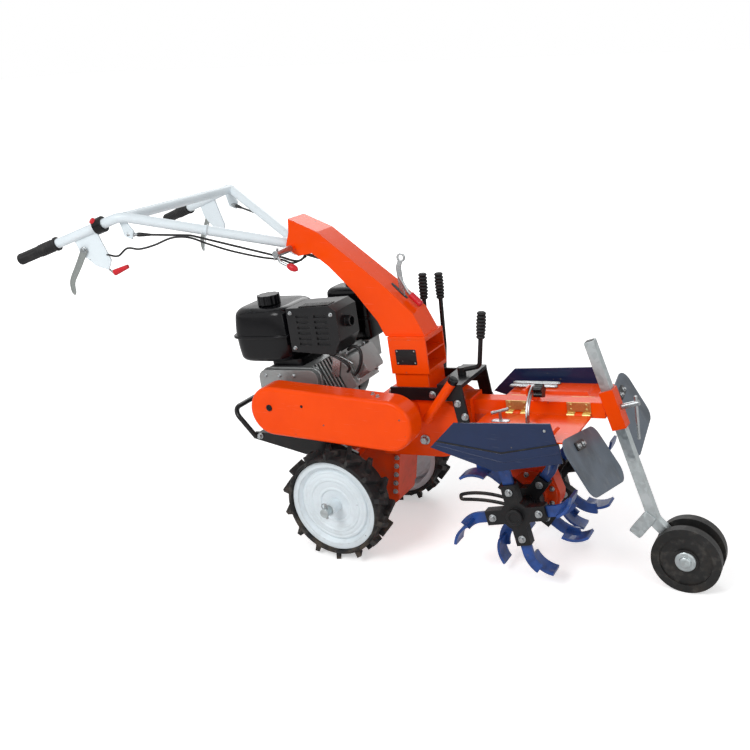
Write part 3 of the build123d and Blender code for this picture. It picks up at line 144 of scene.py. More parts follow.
def put(name, data, axes=np.eye(3), at=(0.0, 0.0, 0.0)):
    """A new object in the scene: its three axes and its place are the columns of its matrix."""
    made = bpy.data.objects.new(name, data)
    turn = np.eye(4)
    turn[:3] = np.column_stack([*axes, at])
    made.matrix_world = Matrix(turn.tolist())
    scene.collection.objects.link(made)
    return made


sheet = bpy.data.meshes.new("studio_floor")
corners = [(x, y, 0.0) for x in (-FLOOR_HALF, FLOOR_HALF) for y in (-FLOOR_HALF, FLOOR_HALF)]
sheet.from_pydata(corners, [], [(0, 2, 3, 1)])
floor = put("studio_floor", sheet)
for name, at, aim, size, watts in LAMPS:
    lamp = bpy.data.lights.new(name, "AREA")
    lamp.size, lamp.energy = size, watts
    out = unit(np.subtract(at, aim))
    right = unit(np.cross((0, 0, 1), out))
    put(name, lamp, (right, np.cross(out, right), out), at)
scene.view_settings.view_transform = "Standard"
print("lamps:", len(LAMPS))

# %% [markdown]
# The camera was worked out from the photo: the ellipses of the wheels give its direction, and the
# sizes of near and far wheels its distance. It rolls by a few degrees.

# %% Camera
CAMERA_AT = (1.2415, -2.1961, 1.3313)
TURN, RISE, ROLL = (math.radians(angle) for angle in (27.68, 17.13, -2.9))
FOCAL_SHARE = 983.0 / 750.0
SENSOR = 36.0
SHIFT = (-0.036, -0.052)

back = np.array([math.sin(TURN) * math.cos(RISE), -math.cos(TURN) * math.cos(RISE), math.sin(RISE)])
right = np.array([math.cos(TURN), math.sin(TURN), 0.0])
top = np.cross(back, right)
lens = bpy.data.cameras.new("photo_camera")
lens.sensor_width, lens.lens = SENSOR, FOCAL_SHARE * SENSOR
lens.shift_x, lens.shift_y = SHIFT
lens.clip_start, lens.clip_end = 0.05, 200.0
rolled = math.cos(ROLL) * right + math.sin(ROLL) * top
axes = (rolled, np.cross(back, rolled), back)
scene.camera = put("photo_camera", lens, axes, CAMERA_AT)
print("lens in mm:", round(lens.lens, 2))

# %% [markdown]
# ## A small language for shaders
#
# Node graphs are sums and products, so we write them that way. A `Wire` holds one socket; `+ - *`
# and `**` add Math nodes, `blend` mixes two colours, and `node` makes any other node.


# %% Wires
class Wire:
    """One output socket of a shader tree. Arithmetic with numbers or wires adds Math nodes. A sum
    or product is the same from either side, so its reflected form is the same method."""

    def __init__(self, tree, socket=None):
        self.tree, self.socket = tree, socket

    def node(self, kind, settings=(), values=(), out=0):
        """A new node: settings first, then values or wires by input name or number."""
        made = self.tree.nodes.new(kind)
        for key, value in dict(settings).items():
            setattr(made, key, value)
        for key, value in dict(values).items():
            if isinstance(value, Wire):
                self.tree.links.new(value.socket, made.inputs[key])
            else:
                made.inputs[key].default_value = value
        return Wire(self.tree, made.outputs[out])

    def math(self, operation, first, second):
        return self.node("ShaderNodeMath", {"operation": operation}, {0: first, 1: second})

    def __add__(self, other):
        return self.math("ADD", self, other)

    __radd__ = __add__

    def __sub__(self, other):
        return self.math("SUBTRACT", self, other)

    def __rsub__(self, other):
        return self.math("SUBTRACT", other, self)

    def __mul__(self, other):
        return self.math("MULTIPLY", self, other)

    __rmul__ = __mul__

    def __pow__(self, other):
        return self.math("POWER", self, other)

    def __rpow__(self, other):
        return self.math("POWER", other, self)

    def ramp(self, low, high):
        """Nought below low, one above high, a smooth step between; reversed if low > high."""
        ends = {"Value": self, "From Min": low, "From Max": high}
        return self.node("ShaderNodeMapRange", {"interpolation_type": "SMOOTHSTEP"}, ends)

    def blend(self, first, second):
        """The first colour where this wire is nought, the second where it is one."""
        ends = {0: self, 6: first, 7: second}
        return self.node("ShaderNodeMix", {"data_type": "RGBA"}, ends, out=2)

    def axis(self, number):
        """The x, y or z of a vector."""
        return self.node("ShaderNodeSeparateXYZ", (), {0: self}, out=number)

    def stretch(self, x, y, z):
        """A vector scaled by a factor for each axis."""
        return self.node("ShaderNodeVectorMath", {"operation": "MULTIPLY"}, {0: self, 1: (x, y, z)})

    def noise(self, scale, detail=3):
        """Cloudy noise, mostly between 0.3 and 0.7, with so many lumps a metre."""
        values = {"Vector": self, "Scale": scale, "Detail": detail, "Roughness": 0.55}
        return self.node("ShaderNodeTexNoise", (), values)

    def cells(self, scale, out=0):
        """Voronoi cells: out 0 is the distance to a cell's middle, out 1 a colour for each cell."""
        return self.node("ShaderNodeTexVoronoi", (), {"Vector": self, "Scale": scale}, out=out)


print("operators ready for", Wire.__name__)

# %% [markdown]
# Every finish starts from a blank material. `edges` finds edges and rounds them, for wear and for
# painted highlights, and `plug` joins the finished wires to the shader.

# %% Blank materials, edges and colours
COAT_ROUGHNESS = 0.08


def blank(name, metallic=0.0, coat=0.0, shine=0.3):
    """A new material, its shader, and a wire of the places on the object."""
    material = bpy.data.materials.new(name)
    material.use_nodes = True
    shader = material.node_tree.nodes["Principled BSDF"]
    values = {"Metallic": metallic, "Specular IOR Level": shine, "Coat Weight": coat}
    for key, value in {**values, "Coat Roughness": COAT_ROUGHNESS}.items():
        shader.inputs[key].default_value = value
    places = Wire(material.node_tree).node("ShaderNodeTexCoord", out=3)
    return material, shader, places


def edges(places, radius=0.0018):
    """How far each spot lies in a rounded edge, nought to one, and the rounded normal there."""
    soft = places.node("ShaderNodeBevel", {"samples": 4}, {"Radius": radius})
    flat = places.node("ShaderNodeNewGeometry", out="Normal")
    pair = {0: soft, 1: flat}
    turn = places.node("ShaderNodeVectorMath", {"operation": "DOT_PRODUCT"}, pair, out="Value")
    return (1.0 - turn).ramp(0.03, 0.22), soft


def plug(shader, colour, rough, height=None, depth=0.0, soft=None):
    """Joins wires to a shader: its colour, its roughness, and a bump of so many metres on the
    rounded normal, where these are given."""
    tree = shader.id_data
    tree.links.new(colour.socket, shader.inputs["Base Color"])
    tree.links.new(rough.socket, shader.inputs["Roughness"])
    if height is not None:
        values = {"Height": height, "Distance": depth, "Strength": 1.0}
        if soft is not None:
            values["Normal"] = soft
        bump = height.node("ShaderNodeBump", (), values)
        tree.links.new(bump.socket, shader.inputs["Normal"])


def rgb(red, green, blue):
    """A colour in linear light, with full alpha."""
    return (red, green, blue, 1.0)


def toned(colour, factor, lift=0.0):
    """A colour times a factor, lifted, and no brighter than one."""
    return rgb(*(min(1.0, factor * part + lift) for part in colour[:3]))


SOIL = rgb(0.17, 0.125, 0.085)
DUST = rgb(0.36, 0.33, 0.29)
PRIMER = rgb(0.09, 0.085, 0.08)
BARE = rgb(0.34, 0.33, 0.32)
print("shared colours: soil, dust, primer and bare metal")

# %% [markdown]
# The sky mixes two backgrounds: white for camera, glossy and transmission rays, and a dimmer one
# that lights the scene, so that shapes keep their shading. The floor is pale paper with a glow that
# only the camera sees, stronger far away, as if more panels lit the back of the studio.

# %% Sky and floor shaders
SKY_LIGHT = 0.42
world = bpy.data.worlds.new("studio_sky")
scene.world = world
world.use_nodes = True
tree = world.node_tree
tree.nodes.clear()
start = Wire(tree)
seen = start.node("ShaderNodeLightPath", out=0)
for way in ("Is Glossy Ray", "Is Transmission Ray"):
    ray = start.node("ShaderNodeLightPath", out=way)
    seen = seen.math("MAXIMUM", seen, ray)
lit = start.node("ShaderNodeBackground", (), {"Color": rgb(1, 1, 1), "Strength": SKY_LIGHT})
white = start.node("ShaderNodeBackground", (), {"Color": rgb(1, 1, 1), "Strength": 1.0})
sky = start.node("ShaderNodeMixShader", (), {0: seen, 1: lit, 2: white})
tree.links.new(sky.socket, tree.nodes.new("ShaderNodeOutputWorld").inputs["Surface"])

material, shader, places = blank("floor_paper", shine=0.1)
shader.inputs["Emission Strength"].default_value = 1.0
tone = places.noise(3, 2).ramp(0.3, 0.7).blend(rgb(0.93, 0.93, 0.93), rgb(0.95, 0.95, 0.95))
plug(shader, tone, places.noise(40).ramp(0.0, 1.0) * 0.1 + 0.85)
reach = places.node("ShaderNodeVectorMath", {"operation": "LENGTH"}, {0: places}, out="Value")
glow = places.node("ShaderNodeLightPath", out=0) * (reach.ramp(1.0, 4.0) * 0.65 + 0.45)
glow = glow.blend(rgb(0, 0, 0), rgb(1, 1, 1))
shader.id_data.links.new(glow.socket, shader.inputs["Emission Color"])
floor.data.materials.append(material)
print("sky light:", SKY_LIGHT)

# %% [markdown]
# ## Painted metal
#
# Powder coat has a fine orange-peel skin, faint clouds of tone, hairline rubs along the sheet, some
# chips down to the primer, and soil on the lower parts. Each is one noise: rubs are stretched along
# the machine, chips are the middles of a few Voronoi cells, soil is weighted by height. A Bevel
# node rounds the light on edges, and paint wears off there in places.


# %% Paint
SOIL_FOOT, SOIL_TOP = 0.03, 0.34  # heights above the floor between which soil fades out


def paint(name, colour, shade, rough, soil=0.5, chips=1.0, coat=0.06, shine=0.25, wear=0.5):
    """Powder coat: clouded colour, orange peel, rubs, chips, worn edges, and soil low down."""
    material, shader, places = blank(name, coat=coat, shine=shine)
    tone = places.noise(7, 4).ramp(0.35, 0.7).blend(colour, shade)
    rubs = places.stretch(5, 70, 70).noise(3, 2).ramp(0.64, 0.74) * 0.06
    tone = rubs.blend(tone, toned(colour, 0.75, 0.25))
    chip = places.cells(48).ramp(0.13, 0.09) * places.noise(11, 2).ramp(0.60, 0.66) * chips
    tone = chip.blend(tone, PRIMER)
    edge, soft = edges(places)
    tone = (edge * places.noise(55, 4).ramp(0.50, 0.62) * wear).blend(tone, BARE)
    low = places.axis(2).ramp(SOIL_TOP, SOIL_FOOT)
    dirt = low * places.noise(34, 5).ramp(0.42, 0.72) * soil
    tone = dirt.blend(tone, SOIL)
    peel = places.noise(420, 1)
    dull = peel * 0.08 + (rough - 0.04) + rubs * 0.6 + dirt * 0.5
    plug(shader, tone, dull, peel - chip * 0.6, 0.0001, soft)
    return material


orange = paint(
    "orange_powder_coat", rgb(0.90, 0.070, 0.001), rgb(0.85, 0.061, 0.001), 0.25,
    coat=0.04, shine=0.12,
)
deep_orange = paint(
    "chain_case_enamel", rgb(0.74, 0.056, 0.002), rgb(0.62, 0.044, 0.002), 0.36, soil=0.4
)
white_coat = paint(
    "white_enamel", rgb(0.74, 0.81, 0.85), rgb(0.68, 0.75, 0.79), 0.28, soil=0.14, chips=0.5
)
navy = paint(
    "navy_powder_coat", rgb(0.008, 0.022, 0.075), rgb(0.007, 0.018, 0.062), 0.22,
    soil=0.2, shine=0.3, wear=0.35,
)
black_coat = paint(
    "black_satin_paint", rgb(0.005, 0.005, 0.006), rgb(0.009, 0.009, 0.010), 0.30,
    soil=0.25, wear=0.2,
)
print("paints:", orange.name, navy.name, white_coat.name)

# %% [markdown]
# ## Bare metal
#
# Hot-dip zinc freezes into flakes, each with its own tone: a Voronoi colour drives grey and gloss.
# Cast aluminium has a sandy skin and stains of dried oil. The tines are blue, but soil scours them,
# more so with the distance from the rotor's axis, which we read from the joint.


# %% Zinc, castings and tines
def zinc(name, colour, flake, rough=0.34):
    """Zinc: a grey for each frozen flake, fine grain, and a little white bloom."""
    material, shader, places = blank(name, metallic=0.92)
    tint = places.cells(flake, out=1).axis(0)
    bloom = places.noise(16, 4).ramp(0.52, 0.75) * 0.5
    tone = tint.blend(toned(colour, 0.80), colour)
    tone = bloom.blend(tone, rgb(0.60, 0.63, 0.64))
    grain = places.noise(600, 2)
    plug(shader, tone, tint * 0.12 + bloom * 0.25 + (rough - 0.06), grain, 0.0001, edges(places)[1])
    return material


def casting(name, colour, stain, rough, metallic, skin, oil=0.5):
    """A sand casting: lumpy skin, clouded tone, stains where oil has dried, and edges paled by wear and painted
    highlight.
    """
    material, shader, places = blank(name, metallic=metallic)
    stains = places.noise(19, 5).ramp(0.5, 0.72) * oil
    tone = stains.blend(colour, stain)
    sand = places.noise(260, 3)
    edge, soft = edges(places)
    # Every edge is blended towards a brighter copy of the colour: partly worn metal, partly a painted highlight.
    tone = (edge * 0.35).blend(tone, toned(colour, 1.5, 0.02))
    plug(shader, tone, sand * 0.2 + (rough - 0.1) + stains * 0.15, sand, skin, soft)
    return material


def tine_steel(name, axis_at):
    """Blue paint on the shanks that gives way to scoured steel towards the tips."""
    material, shader, places = blank(name, coat=0.15)
    across = places.axis(0) - float(axis_at[0])
    rise = places.axis(2) - float(axis_at[2])
    reach = (across * across + rise * rise) ** 0.5
    patches = places.noise(38, 4)
    worn = (reach * 14.0 + patches * 1.6).ramp(3.1, 3.6) * 0.30
    tone = patches.ramp(0.35, 0.7).blend(rgb(0.020, 0.072, 0.290), rgb(0.014, 0.046, 0.180))
    tone = worn.blend(tone, rgb(0.20, 0.28, 0.42))
    dirt = places.noise(60, 5).ramp(0.58, 0.74) * 0.25
    tone = dirt.blend(tone, SOIL)
    streaks = places.stretch(30, 220, 30).noise(3, 2)
    plug(shader, tone, dirt * 0.4 - worn * 0.08 + 0.3, streaks, 0.00018)
    return material


galvanised = zinc("hot_dip_zinc", rgb(0.51, 0.56, 0.57), 110.0)
bright_zinc = zinc("bright_zinc_plate", rgb(0.40, 0.42, 0.43), 700.0, rough=0.30)
brass = zinc("yellow_passivated_zinc", rgb(0.60, 0.43, 0.16), 500.0, rough=0.36)
aluminium = casting(
    "cast_aluminium", rgb(0.31, 0.32, 0.32), rgb(0.10, 0.09, 0.08), 0.44, 0.8, 0.00035, oil=0.6
)
lever_alloy = casting(
    "lever_alloy", rgb(0.30, 0.32, 0.31), rgb(0.16, 0.16, 0.15), 0.42, 0.75, 0.0002, oil=0.3
)
black_iron = casting(
    "black_cast_iron", rgb(0.006, 0.006, 0.007), rgb(0.016, 0.014, 0.012), 0.42, 0.0, 0.0005
)
tine_blue = tine_steel("tine_blue", JOINTS["rotor_spin"]["pos_m"])
print("metals:", galvanised.name, aluminium.name, tine_blue.name)

# %% [markdown]
# ## Plastic and rubber
#
# Moulded plastic has a pressed grain, greys where hands rub it, and has paler edges, partly wear and
# partly a painted highlight. Tyre rubber is matt, with clouds of dust; the dull grey skin of the
# flaps is scuffed in short strokes.


# %% Plastic and rubber
GRAIN, GRAIN_DEPTH = 900.0, 0.00005  # pores a metre, and their depth in metres


def plastic(name, colour, rub_and_highlight, rough, shine=0.3):
    """Moulded plastic: pressed grain, paler handled patches, edges paled by wear and painted highlight."""
    material, shader, places = blank(name, shine=shine)
    patches = places.noise(13, 4).ramp(0.5, 0.75) * 0.35
    tone = patches.blend(colour, rub_and_highlight)
    pores = places.cells(GRAIN)
    edge, soft = edges(places, 0.0025)
    # Every edge is blended halfway to the paler colour: partly rubbed wear, partly a painted highlight.
    tone = (edge * 0.5).blend(tone, rub_and_highlight)
    plug(shader, tone, pores * 0.12 + patches * 0.12 + (rough - 0.07), pores, GRAIN_DEPTH, soft)
    return material


def rubber(name, colour, dust, soil, rough=0.72, scuff=(1.0, 1.0, 1.0)):
    """Rubber: matt, with dust in clouds, scuffs stretched by axis, and soil near the floor."""
    material, shader, places = blank(name, shine=0.35)
    marks = places.stretch(*scuff).noise(42, 4).ramp(0.50, 0.74) * dust
    smears = places.noise(8, 3).ramp(0.42, 0.66)
    tone = smears.blend(colour, toned(colour, 0.55))
    tone = marks.blend(tone, DUST)
    dirt = places.axis(2).ramp(0.26, 0.02) * places.noise(26, 5).ramp(0.45, 0.7) * soil
    tone = dirt.blend(tone, SOIL)
    skin = places.noise(300, 3)
    plug(shader, tone, skin * 0.2 + (rough - 0.1) + dirt * 0.15, skin, 0.00025)
    return material


black_plastic = plastic(
    "black_moulding", rgb(0.003, 0.003, 0.004), rgb(0.008, 0.008, 0.009), 0.16, shine=0.24
)
red_plastic = plastic("red_moulding", rgb(0.56, 0.012, 0.022), rgb(0.60, 0.08, 0.08), 0.34)
tyre_rubber = rubber("tyre_rubber", rgb(0.009, 0.009, 0.010), 0.14, 0.35)
grip_rubber = rubber("grip_rubber", rgb(0.006, 0.006, 0.007), 0.05, 0.0, rough=0.6)
flap_grey = rubber(
    "flap_dull_grey", rgb(0.100, 0.126, 0.160), 0.12, 0.2, rough=0.42, scuff=(0.8, 1.4, 0.8)
)
cable_sheath = rubber("cable_sheath", rgb(0.005, 0.005, 0.006), 0.06, 0.0, rough=0.45)
tail_rubber = rubber("tail_wheel_nylon", rgb(0.010, 0.010, 0.010), 0.10, 0.08, rough=0.55)

BY_SLOT = dict(
    orange_paint=orange, white_paint=white_coat, blue_paint=navy, grey_paint=flap_grey,
    black_steel=black_coat, galvanised_steel=galvanised, engine_aluminium=aluminium,
    hinge_brass=brass, cast_metal=black_iron, black_plastic=black_plastic, red_plastic=red_plastic,
    tyre_rubber=tyre_rubber, grip_rubber=grip_rubber, black_cable=cable_sheath,
)
BY_NODE = dict(
    right_tines=tine_blue, left_tines=tine_blue, right_lever=lever_alloy, left_lever=lever_alloy,
    chain_case=deep_orange, drop_case=deep_orange, tail_wheels=tail_rubber, clamp_screw=bright_zinc,
    sleeve_screw=bright_zinc, lock_lever=bright_zinc, quadrant=bright_zinc,
)
SLOT_OF = {finish.name: slot for slot, finish in BY_SLOT.items()}
SLOT_OF |= {bright_zinc.name: "galvanised_steel", lever_alloy.name: "grey_paint"}
for row in frame["record"]["subparts"]:
    node = frame["nodes"][row["node"]]
    finish = BY_NODE.get(row["node"], BY_SLOT[row["material_slot"]])
    for holder in node.material_slots:
        holder.material = finish

# %% [markdown]
# ## Tools for new pieces
#
# Every new piece is a surface on a grid: ring after ring of points, joined by quads and closed at
# both ends. `piece` joins such skins to an object with its finish.


# %% Skins and pieces
def skin(rings, loop=False):
    """Points and faces of a closed surface: quads between rings, with a fan over each open end."""
    rows, sides = rings.shape[:2]
    index = np.arange(rows * sides).reshape(rows, sides)
    here, after = (index, np.roll(index, -1, 0)) if loop else (index[:-1], index[1:])
    quads = np.stack([here, np.roll(here, -1, 1), np.roll(after, -1, 1), after], -1).reshape(-1, 4)
    points, fans = rings.reshape(-1, 3), np.zeros((0, 3), int)
    if not loop:
        points = np.vstack([points, rings[0].mean(0), rings[-1].mean(0)])
        first = np.stack([np.full(sides, rows * sides), np.roll(index[0], -1), index[0]], -1)
        last = np.stack([np.full(sides, rows * sides + 1), index[-1], np.roll(index[-1], -1)], -1)
        fans = np.vstack([first, last])
    corners = points[np.vstack([quads[:, :3], quads[:, [0, 2, 3]], fans])] - points.mean(0)
    volume = np.sum(np.cross(corners[:, 0], corners[:, 1]) * corners[:, 2])
    if volume < 0:
        quads, fans = quads[:, ::-1], fans[:, ::-1]
    return points, quads, fans


def piece(name, skins, finish, rides, stands_for=(), crease=40.0):
    """Joins closed skins to one object with edges sharper than crease kept. It rides on a body where
    rides names one; otherwise its points are baked into the frame and it rides on no body."""
    points, faces, count = [], [], 0
    for corners, quads, fans in skins:
        points.append(corners)
        faces += (quads + count).tolist() + (fans + count).tolist()
        count += len(corners)
    mesh = bpy.data.meshes.new(name)
    mesh.from_pydata(np.vstack(points).tolist(), [], faces)
    mesh.shade_smooth()
    mesh.set_sharp_from_angle(angle=math.radians(crease))
    mesh.materials.append(finish)
    made = put(name, mesh)
    if isinstance(rides, str):
        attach(made, rides)
    else:
        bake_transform(made)
    if stands_for:
        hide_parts(*stands_for)
    print(f"{name}: {len(faces)} faces on {rides}")


print("finishes with a slot:", len(SLOT_OF))

# %% [markdown]
# Rings can stand square to an axis (turned parts) or share one outline (plates).


# %% Turned parts, heads and plates
def circle(sides):
    """Angles once round, without the last."""
    return np.linspace(0.0, 2.0 * np.pi, sides, endpoint=False)


def soft_square(angle, power):
    """Points x, y of |x|^p + |y|^p = 1: cosine and sine, each to the power 2 / p with its sign."""
    turn = np.stack([np.cos(angle), np.sin(angle)])
    return np.sign(turn) * np.abs(turn) ** (2.0 / power)


def spokes(axis, angle):
    """The axis at length one, and directions square to it at these angles."""
    axis = unit(axis)
    first = unit(np.cross(axis, np.eye(3)[np.argmin(np.abs(axis))]))
    second = np.cross(axis, first)
    return axis, np.cos(angle)[:, None] * first + np.sin(angle)[:, None] * second


def turned(at, axis, profile, sides=32, shape=None):
    """A turned part: rings at distance d along the axis with radius r, in mm, from (d, r) rows.
    shape(d, angle) multiplies the radius, which makes ribs, flutes and lobes."""
    distance, radius = np.asarray(profile, float).T
    angle = circle(sides)
    spread = radius[:, None] * np.ones(sides)
    if shape is not None:
        spread = spread * shape(distance[:, None], angle[None, :])
    axis, around = spokes(axis, angle)
    return skin(at + MM * (distance[:, None, None] * axis + spread[..., None] * around[None]))


def bolt(at, axis, flats, washer=True):
    """A hexagon head on a washer. At angle t the head's radius is half the flats over the cosine of
    t folded to the nearest flat; the washer's rings are round."""
    angle = circle(36)
    hexagon = 0.5 / np.cos((angle + np.pi / 6) % (np.pi / 3) - np.pi / 6)
    disc = np.full_like(angle, 0.80 if washer else 0.60)
    rows = [disc, disc, 0.94 * disc, hexagon, hexagon, np.minimum(hexagon, 0.525), 0.47 + 0 * angle]
    heights = np.array([0.0, 0.11, 0.14, 0.14, 0.66, 0.74, 0.74])
    axis, around = spokes(axis, angle)
    rings = heights[:, None, None] * axis + np.stack(rows)[..., None] * around[None]
    return skin(at + MM * flats * rings)


def dome(at, axis, radius, height):
    """A rounded head: the profile is a quarter of an ellipse on a short straight edge."""
    lean = np.linspace(0.0, 0.47 * np.pi, 6)
    arc = np.c_[0.25 * height + 0.75 * height * np.sin(lean), radius * np.cos(lean)]
    return turned(at, axis, np.vstack([[[0.0, radius]], arc]), 20)


def slab(at, right, top, width, height, thick, power=7.0, edge=0.6, sides=56):
    """A plate on its back at a place: its outline is a soft square stretched to width and height,
    and its front edge is eased by a smaller last ring."""
    right, top = unit(right), unit(top)
    out = np.cross(right, top)
    x, y = soft_square(circle(sides), power)
    level = np.array([0.0, thick - edge, thick])
    ease = np.array([0.0, 0.0, edge])
    across = (width / 2 - ease)[:, None] * x
    upward = (height / 2 - ease)[:, None] * y
    rings = across[..., None] * right + upward[..., None] * top + level[:, None, None] * out
    return skin(at + MM * rings)


print("turned parts, bolts, domes and slabs are ready")

# %% [markdown]
# Rings can also follow a path, for bars and hoses. A path is one sweep drawn by a few controls, or
# a smooth line through given points.


# %% Bars and paths
def tube(path, radius, hint, sides=14, loop=False, wide=1.0):
    """A bar along a path in metres. Each ring stands square to the path, its first spoke along
    path x hint; the radius in mm may change, and wide stretches that spoke to an oval."""
    path = np.asarray(path, float)
    ahead = np.roll(path, -1, 0) - np.roll(path, 1, 0) if loop else np.gradient(path, axis=0)
    run = unit(ahead)
    side = unit(np.cross(run, np.broadcast_to(np.asarray(hint, float), run.shape)))
    other = np.cross(run, side)
    angle = circle(sides)
    spoke = wide * np.cos(angle)[:, None] * side[:, None] + np.sin(angle)[:, None] * other[:, None]
    size = np.broadcast_to(np.asarray(radius, float), len(path))
    return skin(path[:, None] + MM * size[:, None, None] * spoke, loop)


def swoop(points, count=40):
    """A Bezier path: the sum of the controls, each times C(n, i) t^i (1 - t)^(n - i)."""
    points = np.asarray(points, float)
    last = len(points) - 1
    t = np.linspace(0.0, 1.0, count)[:, None]
    choose = np.array([math.comb(last, i) for i in range(last + 1)])
    power = np.arange(last + 1)
    return (choose * t**power * (1.0 - t) ** (last - power)) @ points


def strand(points, count=90):
    """A path through all the points (Catmull-Rom): between two of them it is the cubic with the
    slopes there, and a slope is half the run between a point's neighbours."""
    points = np.asarray(points, float)
    slope = np.gradient(points, axis=0)
    t = np.linspace(0.0, len(points) - 1.0, count)
    here = np.minimum(t.astype(int), len(points) - 2)
    t = (t - here)[:, None]
    step, leave, arrive = points[here + 1] - points[here], slope[here], slope[here + 1]
    bend = t**2 * (3 * step - 2 * leave - arrive) + t**3 * (leave + arrive - 2 * step)
    return points[here] + t * leave + bend


print("bars, sweeps and strands are ready")

# %% [markdown]
# ## Hand grips
#
# Each grip is a rubber sleeve with a collar, ribs for the fingers, flutes along the palm and a
# round end. One radius function does it: a squared sine along the sleeve for ribs, a squared cosine
# round it for flutes, each faded in where it belongs.

# %% Handlebar grips
HAND_BEND = (-502, 242, 806)
HAND_END = (-826, 308, 719)
GRIP_LENGTH, GRIP_TIP, GRIP_RADIUS, RIB_PITCH = 128, 136, 16, 8


def hand_run(hand):
    """The direction of a hand tube from its bend to its end, at length one."""
    x, y, z = np.subtract(HAND_END, HAND_BEND)
    return unit(heading(x, hand * y, z))


def fade(value, low, high):
    """A smooth step from nought at low to one at high."""
    share = np.clip((value - low) / (high - low), 0, 1)
    return share * share * (3 - 2 * share)


def hand_shape(distance, angle):
    """Ribs near the collar and flutes further out, as a factor on the grip's radius."""
    ribs = 0.10 * np.sin(np.pi * distance / RIB_PITCH) ** 2
    flutes = 0.08 * np.cos(5 * angle) ** 2
    ribs = ribs * fade(distance, 12, 16) * fade(distance, 66, 58)
    return 1 + ribs - flutes * fade(distance, 66, 74) * fade(distance, 126, 118)


reach = np.linspace(9, GRIP_TIP - 5, 90)
sleeve = np.c_[reach, np.full_like(reach, GRIP_RADIUS)]
nose = [(GRIP_TIP - 2, 15), (GRIP_TIP - 0.5, 12.5), (GRIP_TIP, 9)]
collar = [(0, 18.4), (1, 19.4), (6, 19.4), (7, 18.6), (7.6, GRIP_RADIUS)]
for name, hand in SIDES:
    run = hand_run(hand)
    at = sided(HAND_END, hand) - MM * GRIP_LENGTH * run
    grip = turned(at, run, np.vstack([collar, sleeve, nose]), 60, hand_shape)
    piece(f"{name}_grip_sleeve", [grip], grip_rubber, "handlebar_frame", [f"{name}_grip"], 50)

# %% [markdown]
# Gear lever grips are rubber discs on a thin core: a raised cosine to a small power gives flat tops
# and narrow gaps. Of the red grips, one has finer ribs and one is a plain teardrop.

# %% Lever and clamp grips
LEVERS = (  # knee and top of each lever's rod
    ((176, 98, 340), (186, 98, 478)),
    ((216, 125, 340), (222, 125, 472)),
    ((370, 0, 322), (382, 0, 396)),
)
LEVER_GRIP = 72
DISC_PITCH = 9


def disc_shape(distance, angle):
    """Flat-topped discs one pitch apart, as a factor on the radius."""
    wave = 0.5 - 0.5 * np.cos(2 * np.pi * distance / DISC_PITCH)
    return 0.70 + 0.30 * wave**0.4 + 0 * angle


grips = []
reach = np.linspace(0, LEVER_GRIP, 97)
bulge = 13 - 2.2 * (reach / LEVER_GRIP - 0.55) ** 2 / 0.3
for knee, top in LEVERS:
    rise = unit(heading(*np.subtract(top, knee)))
    grips.append(turned(body(*top), rise, np.c_[reach, bulge], 28, disc_shape))
piece("lever_grip_discs", grips, grip_rubber, "chassis", ["lever_grips"], 60)

LOCK_GRIP_AT, LOCK_RUN = (200.1, 0, 516), (0.697, 0, -0.717)
reach = np.linspace(0, 40, 61)
ribbed = 8.2 + 0.8 * np.abs(np.sin(np.pi * reach / 5)) - 3 * fade(reach, 36, 40)
lock_grip = turned(body(*LOCK_GRIP_AT), heading(*LOCK_RUN), np.c_[reach, ribbed], 28)
CRANK_END, CRANK_RUN = (-84, -118.2, 630), (0.910, 0, -0.414)
reach = np.linspace(0, 32, 33)
teardrop = 4.5 + 5.2 * np.sin(np.pi * (reach / 32) ** 0.9) ** 0.8 - 1.5 * fade(reach, 26, 32)
knob = turned(body(*CRANK_END), heading(*CRANK_RUN), np.c_[reach, teardrop], 28)
piece("lock_grip_ribs", [lock_grip], red_plastic, "steering_arm", ["lock_grip"], 60)
piece("clamp_teardrop", [knob], red_plastic, "steering_arm", ["clamp_knob"], 60)

# %% [markdown]
# ## Fasteners
#
# Sheet metal and castings are held by many like bolts, so places go in short tables and one
# function makes the heads. Bolts that belong together become one mesh.

# %% Bolts on the chassis
CHAIN_AXIS, CHAIN_RING, CHAIN_BOLTS = (492, -8), 52, 8
HITCH_BOLTS = ((269, 272), (336, 250), (352, 215))
RIB_LOW, RIB_HIGH, RIB_BOLTS = (100.2, -30.6), (123.5, 88.2), 5
RAIL_BOLTS, RAIL_FACE = ((-272, 147), (20, 98)), {-1: -118, 1: 108}
FLANGE_BOLTS = (140, 252)
GUARD_SCREWS = ((-112, 498), (-112, 402), (14, 492))
heads = [bolt(body(223, -70, 142), -ACROSS, 17)]
for _, hand in SIDES:
    out = hand * ACROSS
    heads += [bolt(body(x, hand * 84, z), out, 12) for x, z in HITCH_BOLTS]
    for share in np.linspace(0.08, 0.92, RIB_BOLTS):
        x, z = between(RIB_LOW, RIB_HIGH, share)
        heads.append(bolt(body(x, hand * 56, z), out, 9))
    for angle in circle(CHAIN_BOLTS) + 0.3:
        x, z = on_ring(CHAIN_AXIS, CHAIN_RING, angle)
        heads.append(bolt(body(x, hand * 28, z), out, 9))
    heads += [bolt(body(x, RAIL_FACE[hand], z), out, 12) for x, z in RAIL_BOLTS]
    heads += [bolt(body(x, hand * 64, 266.2), UP, 12) for x in FLANGE_BOLTS]
heads += [bolt(body(x, -105, z), -ACROSS, 7) for x, z in GUARD_SCREWS]
piece("chassis_bolts", heads, bright_zinc, "chassis")

# %% Screws of the hinges and the engine's covers
HINGE_STARTS, HINGE_LENGTH = (440, 600), 60
heads = [
    dome(body(start + along * HINGE_LENGTH, hand * 22.2, z), hand * ACROSS, 3.4, 2.4)
    for _, hand in SIDES
    for start in HINGE_STARTS
    for along in (0.17, 0.83)
    for z in (222, 234)
]
piece("hinge_screws", heads, brass, "chassis")

